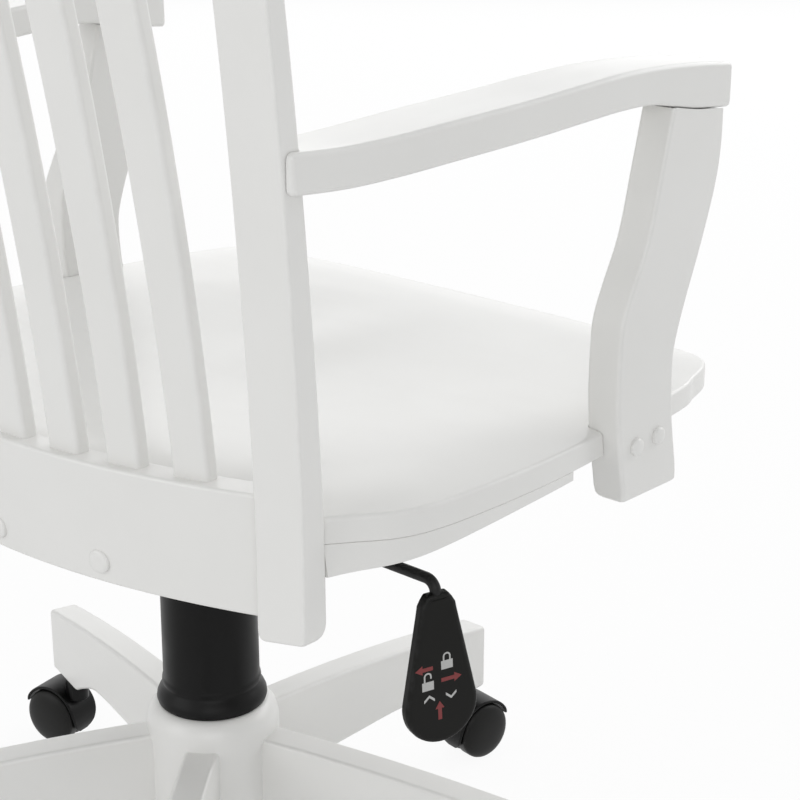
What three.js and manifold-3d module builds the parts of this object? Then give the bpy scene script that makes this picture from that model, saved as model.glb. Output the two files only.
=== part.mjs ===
// Bankers swivel chair in painted wood, in millimetres, +Z up.
// The sitter faces -Y. The chair stands on z = 0 at the lowest setting of its gas lift.
import * as THREE from 'three';
import { mergeVertices } from 'three/addons/utils/BufferGeometryUtils.js';
import Module from 'manifold-3d';

const wasm = await Module();
wasm.setup();

// Driving dimensions of the whole chair
const seatHeight = 433;
const seatThickness = 20;
const seatHalfWidth = 286;
const seatFront = 285;
const seatRear = 142;
const backTop = 893;
const legReach = 312;
const fit = 0.3;
const overrun = 6;

// Seat
const saddleDepth = 9;
const seatEdge = 4;
const buildUpRear = 21;
const buildUpFront = 5.5;
const buildUpWidth = 62;
const buildUpInset = 0.6;
const notchRelief = 17;

// Back
const postWidth = 40;
const postDepthLow = 19.5;
const postDepthHigh = 14;
const postBelowRail = 4;
const postOuterAtSeat = 253.5;
const postRearAtSeat = 150;
const postEdge = 2;
const postSplay = 0.092;
const slatSplay = 0.06;
const leanShare = 0.1;
const leanGrowth = 23;
const backMiddle = 186;
const railRadius = 520;
const crestRadius = 1000;
const railTopRise = 4;
const railHeight = 81;
const railThickness = 21;
const railEdge = 2;
const crestHeight = 92;
const crestThickness = 22;
const crestOverhang = 9;
const crestArch = 15;
const crestEdge = 4;
const slatCount = 8;
const slatPitch = 47.3;
const slatLow = 25.5;
const slatHigh = 29;
const slatThickness = 12;
const slatEdge = 2;
const slatInset = 7.5;
const tenon = 12;

// Arms and their supports
const armLength = 373.5;
const armRear = 174.5;
const armEndLean = 0.1;
const armHeight = 214.4;
const armRise = 14;
const armThickness = 23;
const armOuter = 295.5;
const armWidth = 48;
const armEdge = 3.2;
const supportThickness = 25.5;
const supportOuter = 294;
const supportFoot = 52;
const supportTopY = 168;
const supportHeight = 259;
const supportWidth = 61;
const supportEdge = 2.5;

// Base
const legWidth = 25;
const legEdge = 3;
const legTopAtHub = 156;
const legDrop = 33;
const legEndHeight = 57;
const legRootBottom = 87;
const padLength = 52;
const legDepthMid = 50;
const hubRadius = 46;
const hubBottom = 82;
const collarRadius = 49.2;
const collarTop = 172;
const bushRadius = 31;
const bushFlange = 37;
const bushFlangeThickness = 3;

// Column
const tubeRadius = 25;
const tubeWall = 3;
const tubeBottom = 72;
const rodRadius = 14;
const coneTaper = 1.2;
const slideGap = 0.5;
const rodProud = 6;
const pinRadius = 4;
const pinProud = 7;
const pinLength = 30;
const coverRadius = 35.4;
const coverFlare = 40.6;
const coverWall = 2;
const coverGap = 0.9;

// Tilt mechanism
const housingDrop = 101;
const housingFloor = 3;
const housingWall = 4;
const housingHalfWidth = 48;
const housingFront = 108;
const housingRear = 56;
const housingRise = 69;
const housingFall = 20;
const pivotForward = 30;
const pivotRise = 56;
const pivotRadius = 4.7;
const bossRadius = 21;
const bossRise = 34;
const plateThickness = 3;
const plateHalfWidth = 92;
const plateHalfLength = 104;
const plateBack = 12;
const flangeHeight = 33;
const flangeHalfLength = 46;
const flangeGap = 1.2;
const boltForward = 86;
const boltRadius = 5;
const boltHole = 10.5;
const knobRadius = 25;
const knobHeight = 24;
const knobLobes = 8;
const knobLobeDepth = 2;
const springRadius = 15.5;
const springWire = 2;
const springTurns = 3.5;
const springSpan = 22;
const headHeight = 4;

// Lever
const leverRise = 11;
const leverBack = 8;
const leverRadius = 3.8;
const leverReach = 228;
const leverBend = 8;
const leverPivot = 34;
const leverHole = 8;
const armPlate = 4;
const armPlateWidth = 24;
const socketRadius = 5.2;
const socketLength = 18;
const paddleLength = 106.5;
const paddleRadius = 26.3;
const paddleShoulder = 13;
const paddleNeck = 6.2;
const paddleNeckLength = 6;
const paddleThickness = 9;
const paddleEdge = 2.2;
const paddleYaw = THREE.MathUtils.degToRad(20);
const paddleTilt = THREE.MathUtils.degToRad(-2.5);

// Casters
const wheelRadius = 25;
const wheelWidth = 16.5;
const wheelGap = 7.6;
const wheelDish = 2.5;
const casterTrail = 21;
const stemInset = 24;
const stemRadius = 5.5;
const stemDepth = 34;
const stemCollar = 8.5;
const stemCollarHeight = 2;
const axleRadius = 3;
const axleGap = 0.4;
const hoodGap = 1.4;
const hoodThickness = 2.6;
const hoodOverhang = 0.8;
const webRadius = 21;
const hoodBossRadius = 10;

// Heights that follow the seat, and the column's parts as shares of the free column
const housingBottom = seatHeight - housingDrop;
const housingTopFront = housingBottom + housingRise;
const housingTopRear = housingTopFront - housingFall;
const pivotHeight = housingBottom + pivotRise;
const bossTop = housingBottom + bossRise;
const rodTop = bossTop + rodProud;
const leverHeight = housingBottom + leverRise;
const column = housingBottom - collarTop;
const tubeTop = collarTop + 0.49 * column;
const rodBottom = collarTop - 0.325 * column;
const coverLowerTop = collarTop + 0.52 * column;
const coverMiddleBottom = collarTop + 0.08 * column;
const coverMiddleTop = collarTop + 0.83 * column;
const coverUpperBottom = collarTop + 0.33 * column;

// Finishes
const whitePaint = new THREE.MeshStandardMaterial({ color: 0xe4e4e1, roughness: 0.3 });
const blackPlastic = new THREE.MeshStandardMaterial({ color: 0x1c1c1c, roughness: 0.5 });
const blackMetal = new THREE.MeshStandardMaterial({ color: 0x222222, roughness: 0.4, metalness: 0.6 });
const steel = new THREE.MeshStandardMaterial({ color: 0xa8a9ab, roughness: 0.3, metalness: 1 });

const chair = new THREE.Group();
const round = 20;
const small = 10;
const hubRound = 40;

// Gives a piece its name and finish, and sets it in its group
function piece(name, geometry, material, group = chair) {
  const mesh = new THREE.Mesh(geometry, material);
  mesh.name = name;
  group.add(mesh);
  return mesh;
}

// Signed volume of a closed triangle mesh
function signedVolume(points, faces) {
  const cross = new THREE.Vector3();
  let total = 0;
  for (const [a, b, c] of faces) total += points[a].dot(cross.crossVectors(points[b], points[c]));
  return total / 6;
}

function fromFaces(points, faces) {
  const outward = signedVolume(points, faces) > 0;
  const index = faces.flatMap(([a, b, c]) => (outward ? [a, b, c] : [a, c, b]));
  const geometry = new THREE.BufferGeometry();
  const flat = points.flatMap((p) => [p.x, p.y, p.z]);
  geometry.setAttribute('position', new THREE.Float32BufferAttribute(flat, 3));
  geometry.setIndex(index);
  return geometry;
}

// Skins a row of rings, each with the same number of points, and closes both ends
function loft(rings) {
  const count = rings[0].length;
  const points = rings.flat();
  const faces = [];
  for (let r = 0; r + 1 < rings.length; r += 1) {
    for (let i = 0; i < count; i += 1) {
      const a = r * count + i;
      const b = r * count + ((i + 1) % count);
      faces.push([a, b, b + count], [a, b + count, a + count]);
    }
  }
  [[0, true], [rings.length - 1, false]].forEach(([ring, first]) => {
    const middle = new THREE.Vector3();
    rings[ring].forEach((p) => middle.add(p));
    points.push(middle.divideScalar(count));
    const hub = points.length - 1;
    for (let i = 0; i < count; i += 1) {
      const a = ring * count + i;
      const b = ring * count + ((i + 1) % count);
      faces.push(first ? [b, a, hub] : [a, b, hub]);
    }
  });
  return fromFaces(points, faces);
}

// Ring of a bar with rounded corners: width along u, depth along v
function barRing(centre, u, v, width, depth, edge) {
  const ring = [];
  const corners = [[1, 1, 0], [-1, 1, 1], [-1, -1, 2], [1, -1, 3]];
  for (const [sx, sy, quarter] of corners) {
    for (const step of [0.08, 0.92]) {
      const angle = (quarter + step) * Math.PI / 2;
      const across = sx * (width / 2 - edge) + edge * Math.cos(angle);
      const along = sy * (depth / 2 - edge) + edge * Math.sin(angle);
      ring.push(centre.clone().addScaledVector(u, across).addScaledVector(v, along));
    }
  }
  return ring;
}

function solid(geometry) {
  const bare = geometry.clone();
  bare.deleteAttribute('normal');
  bare.deleteAttribute('uv');
  const merged = mergeVertices(bare);
  return new wasm.Manifold(new wasm.Mesh({
    numProp: 3,
    vertProperties: new Float32Array(merged.attributes.position.array),
    triVerts: new Uint32Array(merged.index.array),
  }));
}

function geometryOf(body) {
  const mesh = body.getMesh();
  const geometry = new THREE.BufferGeometry();
  geometry.setAttribute('position', new THREE.BufferAttribute(mesh.vertProperties, 3));
  geometry.setIndex(new THREE.BufferAttribute(mesh.triVerts, 1));
  return geometry;
}

function cut(geometry, ...tools) {
  return geometryOf(tools.reduce((body, tool) => body.subtract(solid(tool)), solid(geometry)));
}

function join(geometry, ...others) {
  return geometryOf(others.reduce((body, other) => body.add(solid(other)), solid(geometry)));
}

// Flat board from an outline, with softened edges
function board(outline, thickness, edge, segments = 1) {
  const shape = outline instanceof THREE.Shape ? outline : new THREE.Shape(outline);
  const geometry = new THREE.ExtrudeGeometry(shape, {
    depth: thickness - 2 * edge, bevelEnabled: edge > 0, bevelSize: edge, bevelOffset: -edge,
    bevelThickness: edge, bevelSegments: segments, curveSegments: 7,
  });
  return geometry.translate(0, 0, edge);
}

// Turned piece about +Z from [radius, height] points, closed on itself or on the axis
function turned(profile, segments = round) {
  const points = profile.map(([r, z]) => new THREE.Vector2(r, z));
  return new THREE.LatheGeometry(points, segments).rotateX(Math.PI / 2);
}

// Ring with a bore, its section closed on itself
function sleeve(profile, segments = round) {
  return turned([...profile, profile[0]], segments);
}

function rod(radius, from, to, segments = small) {
  return turned([[0, from], [radius, from], [radius, to], [0, to]], segments);
}

function smooth(points, samples) {
  const curve = new THREE.CatmullRomCurve3(points.map(([x, y]) => new THREE.Vector3(x, y, 0)));
  return curve.getPoints(samples).map((p) => new THREE.Vector2(p.x, p.y));
}

function mirrored(geometry) {
  return geometryOf(solid(geometry).mirror([1, 0, 0]));
}

// The back is one leaning, fanning surface. Height is measured from the seat's top.
const backHeight = backTop - seatHeight;
const postReach = backHeight - crestHeight;

function backAt(across, height) {
  const rise = height / postReach;
  const bend = THREE.MathUtils.lerp(1 / railRadius, 1 / crestRadius, Math.max(rise, 0));
  const lean = leanShare * height + leanGrowth * rise * rise;
  const turn = Math.atan(across * bend);
  return {
    lean,
    rear: new THREE.Vector3(across, backMiddle + lean - across * across * bend / 2, seatHeight + height),
    along: new THREE.Vector3(Math.cos(turn), -Math.sin(turn), 0),
    inward: new THREE.Vector3(-Math.sin(turn), -Math.cos(turn), 0),
  };
}

function postDepth(height) {
  return THREE.MathUtils.lerp(postDepthLow, postDepthHigh, height / postReach);
}

const railTop = railTopRise;
const railBottom = railTop - railHeight;
const postBottom = railBottom - postBelowRail;

function post(grow, forward = 0) {
  const rings = [];
  const across = new THREE.Vector3(1, 0, 0);
  const fore = new THREE.Vector3(0, 1, 0);
  const low = postBottom - grow;
  const high = postReach - fit + grow;
  const steps = 9;
  const ringAt = (height, shrink) => {
    const { lean } = backAt(0, height);
    const depth = postDepth(height) + forward;
    const outer = postOuterAtSeat + postSplay * height;
    const centre = new THREE.Vector3(postWidth / 2 - outer, postRearAtSeat + lean - depth / 2,
      seatHeight + height);
    const size = 2 * (grow - shrink);
    return barRing(centre, across, fore, postWidth + size, depth + size, postEdge);
  };
  rings.push(ringAt(low, postEdge * 0.7));
  rings.push(ringAt(low + postEdge, 0));
  for (let i = 1; i < steps; i += 1) rings.push(ringAt(THREE.MathUtils.lerp(low, high, i / steps), 0));
  rings.push(ringAt(high, 0));
  return loft(rings);
}

function slat(index, grow) {
  const rings = [];
  const place = (index - (slatCount - 1) / 2) * slatPitch;
  const low = railTop - tenon - grow;
  const high = postReach + tenon + grow;
  const steps = 5;
  for (let i = 0; i <= steps; i += 1) {
    const height = THREE.MathUtils.lerp(low, high, i / steps);
    const splay = 1 + slatSplay * height / postOuterAtSeat;
    const { rear, along, inward } = backAt(place * splay, height);
    const width = THREE.MathUtils.lerp(slatLow, slatHigh, height / postReach) + 2 * grow;
    const centre = rear.clone().addScaledVector(inward, slatInset + slatThickness / 2);
    rings.push(barRing(centre, along, inward, width, slatThickness + 2 * grow, slatEdge));
  }
  return loft(rings);
}

// Curved rail: a band along the back from side to side, its section given at each place
function backBand(from, to, steps, section) {
  const rings = [];
  for (let i = 0; i <= steps; i += 1) {
    const across = THREE.MathUtils.lerp(from, to, i / steps);
    const { low, high, thickness, edge } = section(across, i / steps);
    const bottom = backAt(across, low);
    const top = backAt(across, high);
    const up = top.rear.clone().sub(bottom.rear);
    const height = up.length();
    up.normalize();
    const centre = bottom.rear.clone().add(top.rear).multiplyScalar(0.5);
    centre.addScaledVector(bottom.inward, thickness / 2);
    rings.push(barRing(centre, bottom.inward, up, thickness, height, edge));
  }
  return loft(rings);
}

const postSolid = post(0);
const postSeat = post(fit);
const postSeats = [postSeat, mirrored(postSeat)];
const slatSeats = Array.from({ length: slatCount }, (_, i) => slat(i, fit));

function lowerRail(grow) {
  const reach = postOuterAtSeat - postWidth + railEdge + 2 * grow;
  return backBand(-reach, reach, 12, () => ({
    low: railBottom - grow, high: railTop + grow, thickness: railThickness + grow, edge: railEdge,
  }));
}

function crestRail() {
  const reach = postOuterAtSeat + postSplay * postReach + crestOverhang;
  const roundEnds = [0.72, 0.9, 1];
  return backBand(-reach, reach, 18, (across, along) => {
    const step = Math.min(along, 1 - along) * 18;
    const full = step < 2 ? roundEnds[Math.round(step)] : 1;
    const arch = crestArch * (1 - Math.cos(across / reach * Math.PI / 2));
    const drop = (1 - full) * crestHeight * 0.4;
    return {
      low: postReach + drop, high: backHeight - arch - drop,
      thickness: crestThickness * (0.6 + 0.4 * full), edge: crestEdge,
    };
  });
}

piece('back_post_right', postSolid, whitePaint);
piece('back_post_left', mirrored(postSolid), whitePaint);
const railEnd = post(fit, postWidth);
const railEnds = [railEnd, mirrored(railEnd)];
piece('lower_back_rail', cut(lowerRail(0), ...railEnds, ...slatSeats), whitePaint);
piece('crest_rail', cut(crestRail(), ...slatSeats), whitePaint);
for (let i = 0; i < slatCount; i += 1) piece(`back_slat_${i + 1}`, slat(i, 0), whitePaint);

// Seat outline from the middle of the front to the rear corner
const seatSideShares = [
  [0, -1], [0.26, -0.998], [0.52, -0.99], [0.74, -0.968], [0.83, -0.945], [0.877, -0.89],
  [0.907, -0.8], [0.937, -0.69], [0.988, -0.27], [1, -0.03], [0.992, 0.4], [0.965, 0.64],
  [0.925, 0.83], [0.878, 0.99],
];

function seatOutline(inset, samples) {
  const side = seatSideShares.map(([x, y]) => {
    const depth = y < 0 ? seatFront : seatRear;
    const shrink = 1 - inset / seatHalfWidth;
    return [x * seatHalfWidth * shrink, y * depth * shrink];
  });
  const half = smooth(side, samples);
  const corner = half[half.length - 1];
  const rearSteps = 10;
  const rear = [];
  for (let i = 1; i < rearSteps; i += 1) {
    const x = THREE.MathUtils.lerp(corner.x, -corner.x, i / rearSteps);
    const joint = backMiddle - 0.5 * railThickness - x * x / (2 * railRadius);
    rear.push(new THREE.Vector2(x, joint - inset));
  }
  const other = half.slice(1).map((p) => new THREE.Vector2(-p.x, p.y)).reverse();
  return [...half, ...rear, ...other];
}

// Saddle: one broad hollow for the sitter with a low ridge towards the front
function saddle(x, y) {
  const across = x / (0.8 * seatHalfWidth);
  const along = (y + 0.12 * seatFront) / (0.68 * seatFront);
  const reach = across * across + along * along;
  if (reach >= 1) return 0;
  const forward = THREE.MathUtils.smoothstep(-y, -0.1 * seatFront, 0.6 * seatFront);
  const ridge = 1 - 0.55 * forward * Math.exp(-((x / (0.14 * seatHalfWidth)) ** 2));
  return saddleDepth * (1 - reach) ** 1.5 * ridge;
}

function seatSlab() {
  const outline = seatOutline(0, 24);
  const centre = new THREE.Vector2(0, -0.22 * seatFront);
  const ring = (share, height, scooped) => outline.map((p) => {
    const q = p.clone().sub(centre).multiplyScalar(share).add(centre);
    return new THREE.Vector3(q.x, q.y, seatHeight + height - (scooped ? saddle(q.x, q.y) : 0));
  });
  const soft = (part) => 1 - part * seatEdge / seatHalfWidth;
  const rings = [0.2, 0.42, 0.64, 0.84].map((share) => ring(share, 0, true));
  rings.push(ring(soft(1), 0, false));
  rings.push(ring(1, -seatEdge, false), ring(1, seatEdge - seatThickness, false));
  rings.push(ring(soft(1), -seatThickness, false));
  return loft(rings);
}

// Arm as a bowed bar: height shares of its rise from the rear end to the front end
const armRiseShares = [0.14, 0.04, 0.13, 0.3, 0.46, 0.63, 0.84, 1, 0.97, 0.72, 0.4];
const armOuterInsets = [19.5, 15.5, 11.5, 8.2, 5.5, 3.4, 1.5, 0.6, 0.2, 0, 0];
const armInnerInsets = [-11.5, -13.5, -14, -13, -11, -8.5, -5.2, -1.5, 2, 5.2, 8];

function arm(grow) {
  const steps = armRiseShares.length - 1;
  const stations = armRiseShares.map((share, i) => ({
    y: armRear - armLength * i / steps, top: armHeight + armRise * share,
    outer: armOuter - armOuterInsets[i], inner: armOuter - armWidth + armInnerInsets[i],
  }));
  const across = new THREE.Vector3(1, 0, 0);
  const up = new THREE.Vector3(0, 0, 1);
  const ringAt = (s, y, shrink) => {
    const middle = -(s.outer + s.inner) / 2;
    const centre = new THREE.Vector3(middle, y, seatHeight + s.top - armThickness / 2);
    const size = 2 * (grow - shrink);
    up.y = y > 0.5 * armRear ? armEndLean : 0;
    return barRing(centre, across, up, s.outer - s.inner + size, armThickness + size, armEdge);
  };
  const first = stations[0];
  const last = stations[steps];
  const rings = [ringAt(first, first.y + grow, armEdge * 0.6)];
  rings.push(ringAt(first, first.y - armEdge, 0));
  stations.slice(1, -1).forEach((s) => rings.push(ringAt(s, s.y, 0)));
  rings.push(ringAt(last, last.y + 2 * armEdge, 0), ringAt(last, last.y + armEdge * 0.5, armEdge * 0.5));
  rings.push(ringAt(last, last.y - grow, armEdge * 1.3));
  return loft(rings);
}

// Support outline as [forward share of its width, height share], rear edge then front edge
const supportRearShares = [
  [0.15, 0.012], [0.145, 0.04], [0.06, 0.15], [0, 0.27], [0.005, 0.4], [0.04, 0.477], [0.18, 0.552],
  [0.42, 0.665], [0.6, 0.82], [0.8, 1],
];
const supportFrontShares = [
  [1.69, 1], [1.69, 0.86], [1.615, 0.757], [1.41, 0.62], [1.16, 0.48], [1.02, 0.386], [0.98, 0.32],
  [1.015, 0.187], [1.12, 0.05], [1.13, 0.012],
];

function supportOutline(grow) {
  const rearY = -(supportTopY - supportWidth * 1.27);
  const place = (shares) => shares.map(([f, h]) => [
    rearY - supportWidth * f, seatHeight - supportFoot + supportHeight * h,
  ]);
  const rear = smooth(place(supportRearShares), 14);
  const front = smooth(place(supportFrontShares), 14);
  rear.forEach((p) => { p.x += grow; });
  front.forEach((p) => { p.x -= grow; });
  const toe = rear[0].x - front[front.length - 1].x;
  const foot = seatHeight - supportFoot - grow;
  const inset = toe * 0.12;
  const bottom = [
    new THREE.Vector2(front[front.length - 1].x + inset, foot),
    new THREE.Vector2(rear[0].x - inset, foot),
  ];
  return [...rear, ...front, ...bottom];
}

function support(grow) {
  const plank = board(supportOutline(grow), supportThickness + grow, supportEdge);
  const basis = new THREE.Matrix4().makeBasis(
    new THREE.Vector3(0, 1, 0), new THREE.Vector3(0, 0, 1), new THREE.Vector3(1, 0, 0),
  );
  return plank.applyMatrix4(basis).translate(-supportOuter, 0, 0);
}

const armSolid = cut(arm(0), postSeat);
const supportSolid = cut(support(0), arm(fit));
const supportSeat = support(fit);
const supportSeats = [supportSeat, mirrored(supportSeat)];
piece('arm_right', armSolid, whitePaint);
piece('arm_left', mirrored(armSolid), whitePaint);
piece('arm_support_right', supportSolid, whitePaint);
piece('arm_support_left', mirrored(supportSolid), whitePaint);

const railSeat = lowerRail(fit);
piece('seat_board', cut(seatSlab(), railSeat, ...postSeats, ...supportSeats), whitePaint);

// Strips glued under the rim's rear half thin out towards the arm supports
function buildUp() {
  const outer = seatOutline(buildUpInset, 24);
  const inner = seatOutline(buildUpWidth, 24).map((p) => new THREE.Vector2(p.x, p.y));
  const shape = new THREE.Shape(outer);
  shape.holes.push(new THREE.Path(inner));
  const strip = new THREE.ExtrudeGeometry(shape, { depth: buildUpRear, bevelEnabled: false });
  const under = seatHeight - seatThickness - fit;
  strip.translate(0, 0, under - buildUpRear);
  const frontEnd = -(supportTopY - supportWidth * 1.27) + notchRelief;
  const size = 4 * seatHalfWidth;
  const front = new THREE.BoxGeometry(size, size, size).translate(0, frontEnd - size / 2, 0);
  front.translate(0, 0, seatHeight);
  const slope = Math.atan((buildUpRear - buildUpFront) / (seatRear - frontEnd));
  const wedge = new THREE.BoxGeometry(size, size, size).translate(0, 0, -size / 2);
  wedge.rotateX(-slope).translate(0, frontEnd, under - buildUpFront);
  return cut(strip, front, wedge, railSeat, ...postSeats);
}
piece('seat_build_up', buildUp(), whitePaint);

// Base: hub, five legs and the metal bush for the column
const hubProfile = [
  [bushRadius + fit, hubBottom], [hubRadius - legEdge, hubBottom], [hubRadius, hubBottom + legEdge],
  [hubRadius, legTopAtHub - 3 * legEdge], [collarRadius, legTopAtHub], [collarRadius - 1, collarTop - 3 * legEdge],
  [collarRadius - 2 * legEdge, collarTop - 0.6 * legEdge], [collarRadius - 3 * legEdge, collarTop],
  [bushRadius + fit, collarTop],
];
const hubSeat = rod(hubRadius + fit, hubBottom - overrun, collarTop + overrun, hubRound);
const collarLow = legTopAtHub - 3 * legEdge - fit;
const collarSeat = rod(collarRadius + fit, collarLow, collarTop + overrun, hubRound);

function legOutline() {
  const root = hubRadius - overrun;
  const span = legReach - root;
  const top = smooth([0, 0.2, 0.4, 0.6, 0.8, 0.96].map((s) => [
    root + span * s, legTopAtHub - legDrop * s * s,
  ]), 7);
  const endTop = legTopAtHub - legDrop;
  const endBottom = endTop - legEndHeight;
  const pad = legReach - padLength;
  const belly = legTopAtHub - legDrop * 0.36 - legDepthMid;
  const under = smooth([
    [pad, endBottom], [pad - 0.25 * padLength, endBottom + 0.12 * legEndHeight],
    [pad - 0.75 * padLength, belly - 0.06 * legEndHeight], [pad - 1.25 * padLength, belly],
    [pad - 2.2 * padLength, belly], [root, legRootBottom],
  ], 10);
  const end = [
    new THREE.Vector2(legReach - 0.3 * legEdge, endTop - legEdge),
    new THREE.Vector2(legReach, endTop - 2.5 * legEdge), new THREE.Vector2(legReach, endBottom),
  ];
  return [...top, ...end, ...under];
}

const stemRadial = legReach - stemInset;
const padHeight = legTopAtHub - legDrop - legEndHeight;
const plainLeg = board(legOutline(), legWidth, legEdge).translate(0, 0, -legWidth / 2).rotateX(Math.PI / 2);
const stemBore = rod(stemRadius + fit, padHeight - overrun, padHeight + stemDepth + fit);
stemBore.translate(stemRadial, 0, 0);
const legSolid = cut(plainLeg, hubSeat, collarSeat, stemBore);

piece('base_hub', sleeve(hubProfile, hubRound), whitePaint);
piece('hub_bush', sleeve([
  [tubeRadius + slideGap, hubBottom - bushFlangeThickness - fit],
  [bushFlange, hubBottom - bushFlangeThickness - fit], [bushFlange, hubBottom - fit],
  [bushRadius, hubBottom - fit], [bushRadius, collarTop - fit], [tubeRadius + slideGap, collarTop - fit],
]), steel);

// Casters: a stem in each leg, a hood with its axle and two wheels
const hoodInner = wheelRadius + hoodGap;
const hoodOuter = hoodInner + hoodThickness;
const hoodHalf = wheelGap / 2 + wheelWidth + hoodOverhang;
const bossHeight = padHeight - stemCollarHeight - 2 * fit;

function wheelSolid() {
  const half = wheelWidth;
  const bore = axleRadius + axleGap;
  const profile = [
    [bore, 0], [wheelRadius - 0.3 * wheelDish, 0], [wheelRadius, 0.4 * wheelDish],
    [wheelRadius, half - 1.2 * wheelDish], [wheelRadius - 1.2 * wheelDish, half],
    [0, half - 0.4 * wheelDish], [0, half - 1.8 * wheelDish], [bore, half - 1.8 * wheelDish],
  ];
  return sleeve(profile, 16).rotateX(-Math.PI / 2);
}

function hoodBand() {
  const shape = new THREE.Shape();
  const start = THREE.MathUtils.degToRad(24);
  const end = THREE.MathUtils.degToRad(190);
  shape.absarc(0, 0, hoodOuter, start, end, false);
  shape.absarc(0, 0, hoodInner, end, start, true);
  return board(shape, 2 * hoodHalf, 0).translate(0, 0, -hoodHalf);
}

function hoodSolid() {
  const web = rod(webRadius, -wheelGap / 2 + axleGap, wheelGap / 2 - axleGap, 14);
  const rib = new THREE.Shape();
  rib.absarc(0, 0, hoodInner + 0.5 * hoodThickness, 0.4 * Math.PI, Math.PI, false);
  rib.lineTo(0, 0);
  const ribDepth = wheelGap - 2 * axleGap;
  const ribBody = new THREE.ExtrudeGeometry(rib, { depth: ribDepth, bevelEnabled: false, curveSegments: 6 });
  ribBody.translate(0, 0, -ribDepth / 2);
  const axleHalf = wheelGap / 2 + wheelWidth - 1.8 * wheelDish - axleGap;
  const axle = rod(axleRadius, -axleHalf, axleHalf, 8);
  const body = join(hoodBand(), web, ribBody, axle).rotateX(Math.PI / 2);
  body.translate(casterTrail, 0, wheelRadius);
  const bossLow = wheelRadius + 0.5 * wheelRadius;
  const boss = rod(hoodBossRadius, bossLow, bossHeight, 12);
  const wheelRoom = rod(wheelRadius + 2 * axleGap, -hoodHalf, hoodHalf, 16).rotateX(Math.PI / 2);
  wheelRoom.translate(casterTrail, 0, wheelRadius);
  const webRoom = new THREE.BoxGeometry(4 * wheelRadius, wheelGap - 2 * axleGap, 4 * wheelRadius);
  webRoom.translate(casterTrail, 0, wheelRadius);
  const sides = cut(wheelRoom, webRoom);
  const bore = rod(stemRadius + fit, wheelRadius + 0.75 * wheelRadius, bossHeight + overrun, small);
  return cut(join(body, cut(boss, sides)), bore);
}

const hoodShape = hoodSolid();
const wheelShape = wheelSolid();
const stemLow = wheelRadius + 0.75 * wheelRadius + fit;
const stemShape = join(
  rod(stemRadius, stemLow, padHeight + stemDepth),
  rod(stemCollar, bossHeight + fit, bossHeight + fit + stemCollarHeight, 12),
);

// Leg directions, one to the front, and each caster's trail direction in plan
const legAngles = [-88.5, -16.5, 55.5, 127.5, 199.5];
const trailAngles = [-98, 11, 32, 148, 169];
legAngles.forEach((angle, k) => {
  const turn = THREE.MathUtils.degToRad(angle);
  const leg = piece(`base_leg_${k + 1}`, legSolid, whitePaint);
  leg.rotation.z = turn;
  const caster = new THREE.Group();
  caster.position.set(stemRadial * Math.cos(turn), stemRadial * Math.sin(turn), 0);
  caster.rotation.z = THREE.MathUtils.degToRad(trailAngles[k]);
  chair.add(caster);
  piece(`caster_stem_${k + 1}`, stemShape, steel, caster);
  piece(`caster_hood_${k + 1}`, hoodShape, blackPlastic, caster);
  const offset = wheelGap / 2;
  const left = piece(`caster_wheel_${k + 1}_left`, wheelShape, blackPlastic, caster);
  left.position.set(casterTrail, offset, wheelRadius);
  const right = piece(`caster_wheel_${k + 1}_right`, wheelShape, blackPlastic, caster);
  right.rotation.z = Math.PI;
  right.position.set(casterTrail, -offset, wheelRadius);
});

// Column: gas cylinder, piston rod, valve pin and three telescoping sleeves
const boreRadius = rodRadius + slideGap;
piece('gas_cylinder', sleeve([
  [0, tubeBottom], [tubeRadius - 1, tubeBottom], [tubeRadius, tubeBottom + 2 * tubeWall],
  [tubeRadius, tubeTop], [boreRadius, tubeTop], [boreRadius, tubeTop - 2 * tubeWall],
  [tubeRadius - tubeWall, tubeTop - 2 * tubeWall], [tubeRadius - tubeWall, tubeBottom + tubeWall],
  [0, tubeBottom + tubeWall],
]), steel);
const pinSeat = rodTop - pinLength;
piece('gas_piston_rod', sleeve([
  [0, rodBottom], [rodRadius, rodBottom], [rodRadius, housingBottom],
  [rodRadius - coneTaper, rodTop], [pinRadius + fit, rodTop], [pinRadius + fit, pinSeat - overrun],
  [0, pinSeat - overrun],
], 20), steel);
piece('gas_valve_pin', rod(pinRadius, pinSeat, rodTop + pinProud), steel);

const footBottom = collarTop + fit;
const flareRise = coverFlare - coverRadius;
piece('column_cover_lower', sleeve([
  [coverFlare - 1, footBottom], [coverFlare, footBottom + 0.7 * flareRise],
  [coverRadius + 0.5 * flareRise, footBottom + 2.7 * flareRise],
  [coverRadius + 0.1 * flareRise, footBottom + 3.7 * flareRise],
  [coverRadius + 0.2 * flareRise, footBottom + 3.9 * flareRise],
  [coverRadius + 0.12 * flareRise, footBottom + 5 * flareRise],
  [coverRadius, coverLowerTop], [coverRadius - coverWall, coverLowerTop],
  [coverRadius - coverWall, footBottom + 4 * flareRise],
  [coverFlare - coverWall - 1, footBottom + coverWall], [coverFlare - coverWall - 1, footBottom],
]), blackPlastic);
const middleRadius = coverRadius - coverWall - coverGap;
const upperRadius = middleRadius - coverWall - coverGap;

function plainSleeve(radius, from, to) {
  return sleeve([
    [radius, from], [radius, to - 0.5 * coverWall], [radius - 0.4 * coverWall, to],
    [radius - coverWall, to], [radius - coverWall, from],
  ]);
}
piece('column_cover_middle', plainSleeve(middleRadius, coverMiddleBottom, coverMiddleTop), blackPlastic);
piece('column_cover_upper', plainSleeve(upperRadius, coverUpperBottom, housingBottom - fit), blackPlastic);

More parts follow.
